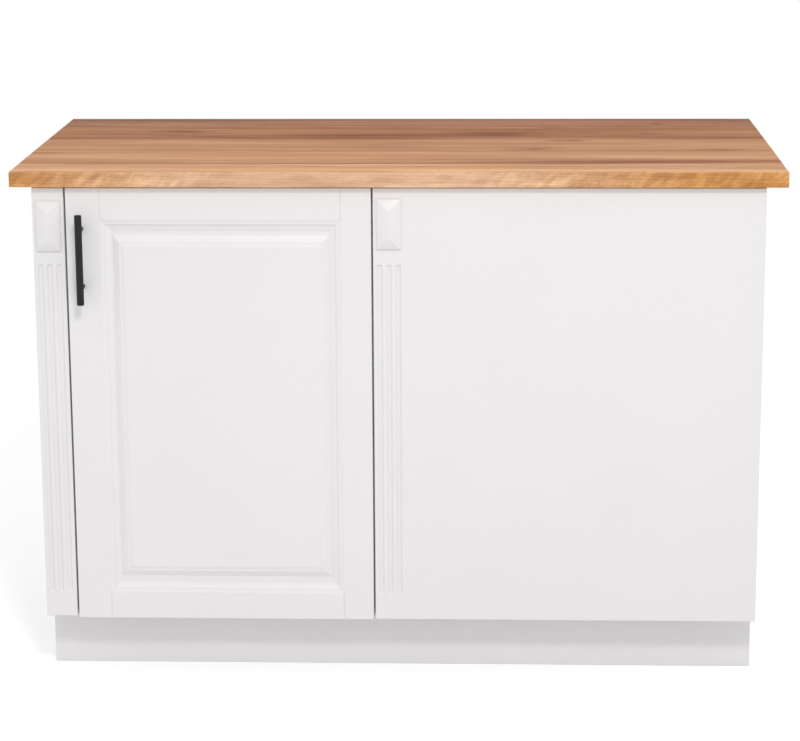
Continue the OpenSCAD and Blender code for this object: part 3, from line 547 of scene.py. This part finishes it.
def markField(tree, x, y, look):
    # How strong the marks and the painted highlight are at a point, and how far they push the grain aside
    strength, push = 0.0, 0.0
    for markX, markY, halfLength, halfWidth, slope, power, pull in look["marksAndHighlight"]:
        along = calc(tree, "SUBTRACT", x, markX)
        across = calc(tree, "SUBTRACT", y, markY)
        if slope:
            across = calc(tree, "MULTIPLY_ADD", along, -slope, across)
        across = calc(tree, "DIVIDE", across, halfWidth)
        along = calc(tree, "DIVIDE", along, halfLength)
        square = calc(tree, "MULTIPLY_ADD", across, across, calc(tree, "MULTIPLY", along, along))
        fade = calc(tree, "EXPONENT", calc(tree, "MULTIPLY", square, -1.0))
        strength = calc(tree, "MULTIPLY_ADD", fade, power, strength)
        if pull:
            wide = calc(tree, "EXPONENT", calc(tree, "MULTIPLY", square, -look["pushFade"]))
            push = calc(tree, "MULTIPLY_ADD", wide, pull, push)
    return strength, push


def addStain(tree, total, pattern, amount, middle=0.5):
    # Adds a pattern to the stain, as much below nothing as above it
    return calc(tree, "MULTIPLY_ADD", calc(tree, "SUBTRACT", pattern, middle), amount, total)


def oiledOak(look):
    material, tree, shader, place = startMaterial("oiledOak", IOR=1.45)
    shader.inputs["Specular IOR Level"].default_value = look["specular"]
    shift = put(tree, "ShaderNodeAttribute", attribute_name="staveShift").outputs["Vector"]
    tilt = split(tree, put(tree, "ShaderNodeAttribute", attribute_name="staveTilt").outputs["Vector"])
    tone = put(tree, "ShaderNodeAttribute", attribute_name="staveTone").outputs["Vector"]
    world = split(tree, place)

    # place in the stave, from its pith
    local = calcVector(tree, "ADD", place, shift)
    sway = drift(tree, local, look["swayStretch"], 2, 0.45)
    wander = drift(tree, local, look["wanderStretch"], 2)
    markX = calc(tree, "MULTIPLY_ADD", wander[0], look["markWander"][0], world[0])
    markY = calc(tree, "MULTIPLY_ADD", wander[1], look["markWander"][1], world[1])
    marksAndHighlight, push = markField(tree, markX, markY, look)
    axes = split(tree, local)
    across = calc(tree, "MULTIPLY_ADD", axes[0], tilt[1], axes[1])
    across = calc(tree, "MULTIPLY_ADD", sway[0], look["sway"], across)
    across = calc(tree, "ADD", across, push)
    deep = calc(tree, "MULTIPLY_ADD", axes[0], tilt[2], axes[2])
    deep = calc(tree, "MULTIPLY_ADD", sway[1], look["sway"], deep)
    squared = calc(tree, "MULTIPLY_ADD", across, across, calc(tree, "MULTIPLY", deep, deep))
    uneven = stretchedNoise(tree, local, look["unevenStretch"], 1)["Fac"]
    phase = calc(tree, "DIVIDE", calc(tree, "SQRT", squared), look["ringWidth"])
    ring = calc(tree, "FRACT", calc(tree, "MULTIPLY_ADD", uneven, look["unevenRings"], phase))
    late = spread(tree, ring, *look["lateWood"])

    # broad bands, long streaks, fine fibre and the dark pores of the early wood
    band = stretchedNoise(tree, local, look["bandStretch"], 3)["Fac"]
    streak = stretchedNoise(tree, local, look["streakStretch"], 5, 0.6)["Fac"]
    fibre = stretchedNoise(tree, local, look["fibreStretch"], 3, 0.6)["Fac"]
    dash = stretchedNoise(tree, local, look["poreStretch"], 2)["Fac"]
    early = calc(tree, "SUBTRACT", 1.0, late)
    poreShare = spread(tree, early, *look["earlyPart"], look["latePores"], 1.0)
    pore = calc(tree, "MULTIPLY", spread(tree, dash, *look["poreCut"]), poreShare)

    # the edges: paler in the middle, warmer and flecked towards both ends
    facing = split(tree, put(tree, "ShaderNodeTexCoord").outputs["Normal"])
    turnFrom, turnTo = look["edgeTurn"]
    isEdge = spread(tree, calc(tree, "ABSOLUTE", facing[2]), turnTo, turnFrom)
    onTop = calc(tree, "SUBTRACT", 1.0, isEdge)
    onLong = spread(tree, calc(tree, "ABSOLUTE", facing[1]), turnFrom, turnTo)
    aside = calc(tree, "ABSOLUTE", calc(tree, "SUBTRACT", world[0], look["edgeCentre"]))
    ends = spread(tree, aside, *look["edgeFade"])
    leaning = calc(tree, "MULTIPLY_ADD", world[2], -look["fleckLean"], world[0])
    fleckPlace = put(tree, "ShaderNodeCombineXYZ", {0: leaning, 1: world[1], 2: world[2]}).outputs[0]
    fleck = stretchedNoise(tree, fleckPlace, look["fleckStretch"], 3, 0.6, look["fleckTwist"])["Fac"]
    fleckShare = spread(tree, aside, *look["fleckFade"], look["fleckLeast"], 1.0)
    fleckShare = calc(tree, "MULTIPLY", onLong, fleckShare)
    cloud = stretchedNoise(tree, place, look["cloudStretch"], 3, 0.55)["Fac"]

    # all patterns add up to one stain, the painted highlight too, and the wood darkens with it
    # the marks also paint the highlight along the front onto the top
    strength = calc(tree, "MULTIPLY", calc(tree, "ADD", streak, 0.5), look["markAndHighlightStrength"])
    total = calc(tree, "MULTIPLY", marksAndHighlight, calc(tree, "MULTIPLY", onTop, strength))
    ringStain = spread(tree, onLong, 0, 1, look["ringStain"], look["edgeRingStain"])
    total = addStain(tree, total, late, ringStain)
    total = addStain(tree, total, band, look["bandStain"])
    total = addStain(tree, total, streak, look["streakStain"])
    total = addStain(tree, total, fibre, look["fibreStain"])
    total = addStain(tree, total, pore, look["poreStain"], look["poreMiddle"])
    total = addStain(tree, total, cloud, calc(tree, "MULTIPLY", isEdge, look["cloudStain"]))
    total = addStain(tree, total, fleck, calc(tree, "MULTIPLY", fleckShare, look["fleckStain"]))
    exponent = put(tree, "ShaderNodeCombineXYZ", {0: total, 1: total, 2: total}).outputs[0]
    wood = calcVector(tree, "MULTIPLY", calcVector(tree, "POWER", look["stain"], exponent), look["pale"])
    wood = calcVector(tree, "MULTIPLY", wood, tone)
    edgeTone = blendColour(tree, ends, rgba(look["edgeMiddle"]), rgba(look["edgeEnds"]))
    edgeTone = blendColour(tree, isEdge, (1, 1, 1, 1), edgeTone)
    tree.links.new(calcVector(tree, "MULTIPLY", wood, edgeTone), shader.inputs["Base Color"])
    tree.links.new(spread(tree, streak, *widePart, *look["gloss"]), shader.inputs["Roughness"])
    surface = calc(tree, "SUBTRACT", 1.0, pore)     # sinks into each pore
    addBumps(tree, shader, [(early, look["ringDepth"]), (surface, look["poreDepth"])])
    return material


paint = satinPaint(paintLook)
board = whiteBoard(boardLook)
timberUp = plainTimber("timberUp", timberLook, grainUp)
timberDeep = plainTimber("timberDeep", timberLook, grainDeep)
black = blackCoat(blackLook)
nickel = platedSteel("nickelPlate", nickelLook)
zinc = platedSteel("zincPlate", zincLook)
plastic = softPlastic(bumperLook)
oak = oiledOak(oakLook)
print("materials are ready")


# Each node that keeps its own solid gets a finish by its material slot

slotFinish = {
    "satin_paint": paint,
    "oak": oak,
    "white_board": board,
    "plain_timber": timberUp,
    "black_metal": black,
    "hinge_steel": nickel,
    "zinc_steel": zinc,
    "bumper": plastic,
}
slotOf = {part["node"]: part["material_slot"] for part in frame["record"]["subparts"]}
deepGrained = ["plinth_cross_rail"]     # timber that runs from front to back


def finishNodes():
    for name, node in nodes.items():
        finish = timberDeep if name in deepGrained else slotFinish[slotOf[name]]
        node.data.materials.clear()
        node.data.materials.append(finish)


finishNodes()
print("finishes are on", len(nodes), "nodes")


# Pieces made around the solids

weldGap = 1e-6          # metres between corners that are one
flatWithin = 0.5        # degrees between faces that are one


def bodyOf(node):
    return nodes[node]["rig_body"]


def plainMesh(name, node):
    # The node's shape as one merged mesh with its flat faces whole again
    source = nodes[node].data
    mesh = bpy.data.meshes.new(name)
    mesh.from_pydata([v.co for v in source.vertices], [], [tuple(p.vertices) for p in source.polygons])
    shape = bmesh.new()
    shape.from_mesh(mesh)
    bmesh.ops.remove_doubles(shape, verts=shape.verts, dist=weldGap)
    bmesh.ops.dissolve_limit(shape, angle_limit=math.radians(flatWithin),
                             verts=shape.verts, edges=shape.edges)
    shape.to_mesh(mesh)
    shape.free()
    return mesh


def freeze(piece):
    # The modifiers' result becomes the piece's own plain mesh
    graph = bpy.context.evaluated_depsgraph_get()
    made = bpy.data.meshes.new_from_object(piece.evaluated_get(graph),
                                           preserve_all_data_layers=True, depsgraph=graph)
    piece.modifiers.clear()
    piece.data = made
    made.name = piece.name


def roundWeighted(piece, radius, segments):
    bevel = piece.modifiers.new("softEdge", "BEVEL")
    bevel.limit_method = "WEIGHT"
    bevel.width = radius
    bevel.segments = segments
    freeze(piece)


def shadeSmooth(piece, sharp):
    for polygon in piece.data.polygons:
        polygon.use_smooth = True
    piece.data.set_sharp_from_angle(angle=math.radians(sharp))


def handOver(piece, node, *others):
    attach(piece, bodyOf(node))
    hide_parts(node, *others)


def setInput(modifier, tree, label, value):
    for item in tree.interface.items_tree:
        if item.item_type == "SOCKET" and item.in_out == "INPUT" and item.name == label:
            modifier[item.identifier] = value
            return
    raise KeyError(label)


def newTree(name, inputs):
    tree = bpy.data.node_groups.new(name, "GeometryNodeTree")
    tree.interface.new_socket("Geometry", in_out="INPUT", socket_type="NodeSocketGeometry")
    for label, kind, value in inputs:
        socket = tree.interface.new_socket(label, in_out="INPUT", socket_type=kind)
        if value is not None:
            socket.default_value = value
    tree.interface.new_socket("Geometry", in_out="OUTPUT", socket_type="NodeSocketGeometry")
    return tree, put(tree, "NodeGroupInput").outputs, put(tree, "NodeGroupOutput")


def giveAttribute(mesh, name, kind, field, values):
    made = mesh.attributes.new(name, kind, "POINT")
    for item, value in zip(made.data, values):
        setattr(item, field, value)


# Boards with the small rounding that sanding leaves on their long edges, and the two faceted blocks

softLook = {
    "radius": 0.0006,
    "segments": 2,
    "shortest": 0.030,      # a board's shorter edges stay as they are
    "sharp": 25.0,
    "facetSharp": 8.0,
    "boards": [
        "side_left", "side_right", "back_panel", "bottom_panel", "shelf", "hinge_post",
        "left_cleat", "right_cleat", "plinth_front", "plinth_rear", "plinth_left", "plinth_right",
        "plinth_cross_rail",
    ],
    "blocks": ["left_capital", "centre_capital"],
}


def softBoard(node, look):
    isBlock = node in look["blocks"]
    leastTurn = math.radians(look["facetSharp"] if isBlock else look["sharp"])
    mesh = plainMesh(node + "_soft", node)
    shape = bmesh.new()
    shape.from_mesh(mesh)
    weight = shape.edges.layers.float.new("bevel_weight_edge")
    for edge in shape.edges:
        long = isBlock or edge.calc_length() > look["shortest"]
        if long and edge.is_manifold and edge.calc_face_angle() > leastTurn:
            edge[weight] = 1.0
    shape.to_mesh(mesh)
    shape.free()
    piece = bpy.data.objects.new(node + "_soft", mesh)
    scene.collection.objects.link(piece)
    mesh.materials.append(nodes[node].data.materials[0])
    roundWeighted(piece, look["radius"], look["segments"])
    shadeSmooth(piece, look["sharp"])
    handOver(piece, node)


for node in softLook["boards"] + softLook["blocks"]:
    softBoard(node, softLook)
print("boards and blocks have soft edges")


# Worktop: five full-length staves, glued edge to edge. Widths run from the back to the front.

staveLook = {
    "widths": [0.102, 0.169, 0.146, 0.143, 0.080],
    "tones": [(0.58, 0.50, 0.55), (0.67, 0.57, 0.53), (0.86, 0.81, 0.79),
              (0.90, 0.85, 0.84), (1.01, 1.01, 1.03)],
    "pithSide": [0.030, -0.012, 0.046, -0.020, 0.055],
    "pithDepth": [0.085, 0.060, 0.120, 0.095, 0.070],
    "tiltAcross": [0.012, -0.022, 0.010, 0.016, -0.014],
    "tiltDeep": [0.016, 0.030, -0.014, 0.020, 0.026],
    "alongStep": 3.7,
    "edgeRadius": 0.003,
    "edgeSegments": 4,
    "jointRadius": 0.00018,
    "sharp": 40.0,
    "nearness": 1e-4,       # metres within which an edge lies on the worktop's outline
}


def staveTree():
    tree, given, out = newTree("oakStaves", [
        ("Length", "NodeSocketFloat", 1.0), ("Thickness", "NodeSocketFloat", 0.026),
        ("Finish", "NodeSocketMaterial", None)])
    width = put(tree, "GeometryNodeInputNamedAttribute", {"Name": "staveWidth"}, data_type="FLOAT")
    size = put(tree, "ShaderNodeCombineXYZ",
               {0: given["Length"], 1: width.outputs["Attribute"], 2: given["Thickness"]}).outputs[0]
    stave = put(tree, "GeometryNodeMeshCube", {"Size": (1, 1, 1)})
    placed = put(tree, "GeometryNodeInstanceOnPoints",
                 {"Points": given["Geometry"], "Instance": stave.outputs["Mesh"], "Scale": size})
    real = put(tree, "GeometryNodeRealizeInstances", {0: placed.outputs[0]})
    painted = put(tree, "GeometryNodeSetMaterial",
                  {"Geometry": real.outputs[0], "Material": given["Finish"]})
    plug(tree, out.inputs[0], painted.outputs[0])
    return tree


def weighStaveEdges(mesh, low, high, look):
    # The worktop's outer top edges are rounded, and the joints keep a hair of an arris
    jointWeight = look["jointRadius"] / look["edgeRadius"]
    weights = mesh.attributes.new("bevel_weight_edge", "FLOAT", "EDGE")
    for edge in mesh.edges:
        a, b = (mesh.vertices[v].co for v in edge.vertices)
        middle = (a + b) / 2
        if abs(middle.z - high.z) > look["nearness"]:
            continue
        atEnd = min(abs(middle.x - low.x), abs(middle.x - high.x)) < look["nearness"]
        atSide = min(abs(middle.y - low.y), abs(middle.y - high.y)) < look["nearness"]
        weights.data[edge.index].value = 1.0 if atEnd or atSide else jointWeight


def makeStaves(look):
    low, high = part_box("worktop")
    count = len(look["widths"])
    share = (high.y - low.y) / sum(look["widths"])
    seeds = bpy.data.meshes.new("oakStaves")
    middles, y = [], high.y
    for width in look["widths"]:
        middles.append(y - width * share / 2)
        y -= width * share
    middleZ = (low.z + high.z) / 2
    seeds.from_pydata([((low.x + high.x) / 2, middle, middleZ) for middle in middles], [], [])
    shifts = [(look["alongStep"] * (i + 1), look["pithSide"][i] - middles[i], look["pithDepth"][i] - high.z)
              for i in range(count)]
    tilts = [(0, look["tiltAcross"][i], look["tiltDeep"][i]) for i in range(count)]
    giveAttribute(seeds, "staveWidth", "FLOAT", "value", [width * share for width in look["widths"]])
    giveAttribute(seeds, "staveShift", "FLOAT_VECTOR", "vector", shifts)
    giveAttribute(seeds, "staveTilt", "FLOAT_VECTOR", "vector", tilts)
    giveAttribute(seeds, "staveTone", "FLOAT_COLOR", "color", [rgba(tone) for tone in look["tones"]])
    piece = bpy.data.objects.new("oakStaves", seeds)
    scene.collection.objects.link(piece)
    tree = staveTree()
    modifier = piece.modifiers.new("staves", "NODES")
    modifier.node_group = tree
    setInput(modifier, tree, "Length", high.x - low.x)
    setInput(modifier, tree, "Thickness", high.z - low.z)
    setInput(modifier, tree, "Finish", oak)
    freeze(piece)
    weighStaveEdges(piece.data, low, high, look)
    roundWeighted(piece, look["edgeRadius"], look["edgeSegments"])
    shadeSmooth(piece, look["sharp"])
    handOver(piece, "worktop")


makeStaves(staveLook)
print("worktop staves are ready")


# Screws with a cross recess and a thread, one for each screw in the solids

screwLook = {
    "headTop": 0.80,        # of the head's radius
    "rimShare": 0.45,       # of the head's height
    "sunkTop": 0.97,
    "sunkRim": 0.10,
    "recessReach": 1.15,
    "recessWidth": 0.26,
    "recessDepth": 0.65,
    "threadPitch": 0.0018,
    "coreShare": 0.74,
    "freeEnds": 3.0,        # length without thread, in ridge heights, shared by both ends
    "headSides": 28,
    "coreSides": 20,
    "turnSides": 14,
    "ridgeSides": 4,
    "sharp": 32.0,
    "levelGap": 1e-5,       # metres between corners at one height
    "turnSeed": 7,
    "round": ["worktop_screws", "handle_screws", "upper_cup_screws", "lower_cup_screws", "upper_arm_screw",
              "lower_arm_screw", "upper_plate_screws", "lower_plate_screws"],
    "sunk": ["front_screws"],
}


def middleOf(group):
    return tuple(round(sum(co[i] for co in group) / len(group), 4) for i in range(3))


def islands(node):
    # Corner lists of the separate solids in a node, always in the same order
    shape = bmesh.new()
    shape.from_mesh(plainMesh("islands", node))
    left, found = set(shape.verts), []
    while left:
        group, todo = [], [left.pop()]
        while todo:
            vertex = todo.pop()
            group.append(vertex.co.copy())
            for edge in vertex.link_edges:
                other = edge.other_vert(vertex)
                if other in left:
                    left.remove(other)
                    todo.append(other)
        found.append(group)
    shape.free()
    return sorted(found, key=middleOf)


def measureScrew(group, look):
    # Head centre, direction to the tip, length, and the sizes of head and shank
    low = Vector([min(co[i] for co in group) for i in range(3)])
    high = Vector([max(co[i] for co in group) for i in range(3)])
    size = high - low
    axis = max(range(3), key=lambda i: size[i])
    middle = (low + high) / 2

    def radiusAt(place):
        level = [co - middle for co in group if abs(co[axis] - place) < look["levelGap"]]
        for offset in level:
            offset[axis] = 0
        return max(offset.length for offset in level)

    headAtLow = radiusAt(low[axis]) > radiusAt(high[axis])
    aim = Vector([0, 0, 0])
    aim[axis] = 1.0 if headAtLow else -1.0
    head = middle.copy()
    head[axis] = low[axis] if headAtLow else high[axis]
    levels = sorted({round(abs(co[axis] - head[axis]), 6) for co in group})
    return {"head": head, "aim": aim, "length": size[axis], "headRadius": radiusAt(head[axis]),
            "headHeight": levels[1], "shankRadius": radiusAt(high[axis] if headAtLow else low[axis])}


def screwTree(look):
    number = "NodeSocketFloat"
    tree, given, out = newTree("crossScrews", [
        ("Head radius", number, 0.004), ("Head height", number, 0.002), ("Head top radius", number, 0.003),
        ("Rim height", number, 0.001), ("Shank radius", number, 0.002), ("Length", number, 0.016),
        ("Core radius", number, 0.0015), ("Pitch", number, 0.0018), ("Recess reach", number, 0.004),
        ("Recess width", number, 0.001), ("Recess depth", number, 0.001), ("Turn seed", "NodeSocketInt", 1),
        ("Finish", "NodeSocketMaterial", None)])

    def lift(mesh, z):
        offset = put(tree, "ShaderNodeCombineXYZ", {2: z}).outputs[0]
        return put(tree, "GeometryNodeTransform", {"Geometry": mesh, "Translation": offset}).outputs[0]

    # the head lies at z = 0 with its face down, and the shank runs up Z
    rim = put(tree, "GeometryNodeMeshCone",
              {"Vertices": look["headSides"], "Radius Top": given["Head radius"],
               "Radius Bottom": given["Head top radius"], "Depth": given["Rim height"]}).outputs["Mesh"]
    bodyHeight = calc(tree, "SUBTRACT", given["Head height"], given["Rim height"])
    body = put(tree, "GeometryNodeMeshCone",
               {"Vertices": look["headSides"], "Radius Top": given["Shank radius"],
                "Radius Bottom": given["Head radius"], "Depth": bodyHeight}).outputs["Mesh"]
    head = put(tree, "GeometryNodeJoinGeometry")
    for part in (rim, lift(body, given["Rim height"])):
        tree.links.new(part, head.inputs[0])
    depth = calc(tree, "MULTIPLY", given["Recess depth"], 2.0)      # half of a cutting box lies outside
    arms = []
    for x, y in (("Recess reach", "Recess width"), ("Recess width", "Recess reach")):
        size = put(tree, "ShaderNodeCombineXYZ", {0: given[x], 1: given[y], 2: depth}).outputs[0]
        arms.append(put(tree, "GeometryNodeMeshCube", {"Size": size}).outputs["Mesh"])
    welded = put(tree, "GeometryNodeMergeByDistance", {"Geometry": head.outputs[0], "Distance": weldGap})
    cut = put(tree, "GeometryNodeMeshBoolean", {"Mesh 1": welded.outputs[0]}, operation="DIFFERENCE")
    for arm in arms:
        tree.links.new(arm, cut.inputs["Mesh 2"])

    core = put(tree, "GeometryNodeMeshCylinder",
               {"Vertices": look["coreSides"], "Radius": given["Core radius"],
                "Depth": given["Length"]}).outputs["Mesh"]
    core = lift(core, calc(tree, "MULTIPLY", given["Length"], 0.5))
    ridge = calc(tree, "SUBTRACT", given["Shank radius"], given["Core radius"])
    run = calc(tree, "SUBTRACT", given["Length"], given["Head height"])
    run = calc(tree, "SUBTRACT", run, calc(tree, "MULTIPLY", ridge, look["freeEnds"]))
    turns = calc(tree, "DIVIDE", run, given["Pitch"])
    spiral = put(tree, "GeometryNodeCurveSpiral",
                 {"Resolution": look["turnSides"], "Rotations": turns, "Height": run,
                  "Start Radius": given["Core radius"], "End Radius": given["Core radius"]})
    profile = put(tree, "GeometryNodeCurvePrimitiveCircle",
                  {"Resolution": look["ridgeSides"], "Radius": ridge})
    thread = put(tree, "GeometryNodeCurveToMesh",
                 {"Curve": spiral.outputs[0], "Profile Curve": profile.outputs["Curve"],
                  "Fill Caps": True}).outputs[0]
    thread = lift(thread, calc(tree, "MULTIPLY_ADD", ridge, look["freeEnds"] / 2, given["Head height"]))

    whole = put(tree, "GeometryNodeJoinGeometry")
    for part in (cut.outputs[0], core, thread):
        tree.links.new(part, whole.inputs[0])
    aim = put(tree, "GeometryNodeInputNamedAttribute", {"Name": "screwAim"}, data_type="FLOAT_VECTOR")
    turn = put(tree, "FunctionNodeAlignRotationToVector", {"Vector": aim.outputs["Attribute"]}, axis="Z")
    chance = put(tree, "FunctionNodeRandomValue", {"Seed": given["Turn seed"], 3: math.pi},
                 data_type="FLOAT")
    twist = put(tree, "ShaderNodeCombineXYZ", {2: chance.outputs[1]}).outputs[0]
    spin = put(tree, "FunctionNodeEulerToRotation", {0: twist}).outputs[0]
    turned = put(tree, "FunctionNodeRotateRotation", {0: turn.outputs[0], 1: spin},
                 rotation_space="LOCAL").outputs[0]
    placed = put(tree, "GeometryNodeInstanceOnPoints",
                 {"Points": given["Geometry"], "Instance": whole.outputs[0], "Rotation": turned})
    real = put(tree, "GeometryNodeRealizeInstances", {0: placed.outputs[0]})
    painted = put(tree, "GeometryNodeSetMaterial",
                  {"Geometry": real.outputs[0], "Material": given["Finish"]})
    plug(tree, out.inputs[0], painted.outputs[0])
    return tree


def makeScrews(node, tree, look, index):
    screws = [measureScrew(group, look) for group in islands(node)]
    name = node + "_cross"
    seeds = bpy.data.meshes.new(name)
    seeds.from_pydata([screw["head"] for screw in screws], [], [])
    giveAttribute(seeds, "screwAim", "FLOAT_VECTOR", "vector", [screw["aim"] for screw in screws])
    one = screws[0]
    sunk = node in look["sunk"]
    piece = bpy.data.objects.new(name, seeds)
    scene.collection.objects.link(piece)
    modifier = piece.modifiers.new("screws", "NODES")
    modifier.node_group = tree
    radius, height = one["headRadius"], one["headHeight"]
    values = {
        "Head radius": radius,
        "Head height": height,
        "Head top radius": radius * look["sunkTop" if sunk else "headTop"],
        "Rim height": height * look["sunkRim" if sunk else "rimShare"],
        "Shank radius": one["shankRadius"],
        "Length": one["length"],
        "Core radius": one["shankRadius"] * look["coreShare"],
        "Pitch": look["threadPitch"],
        "Recess reach": radius * look["recessReach"],
        "Recess width": radius * look["recessWidth"],
        "Recess depth": height * look["recessDepth"],
        "Turn seed": look["turnSeed"] + index,
        "Finish": zinc,
    }
    for label, value in values.items():
        setInput(modifier, tree, label, value)
    freeze(piece)
    shadeSmooth(piece, look["sharp"])
    handOver(piece, node)
    return piece


crossScrews = screwTree(screwLook)
for index, node in enumerate(screwLook["round"] + screwLook["sunk"]):
    made = makeScrews(node, crossScrews, screwLook, index)
    print(made.name, len(made.data.polygons), "faces")
print("screws are ready")
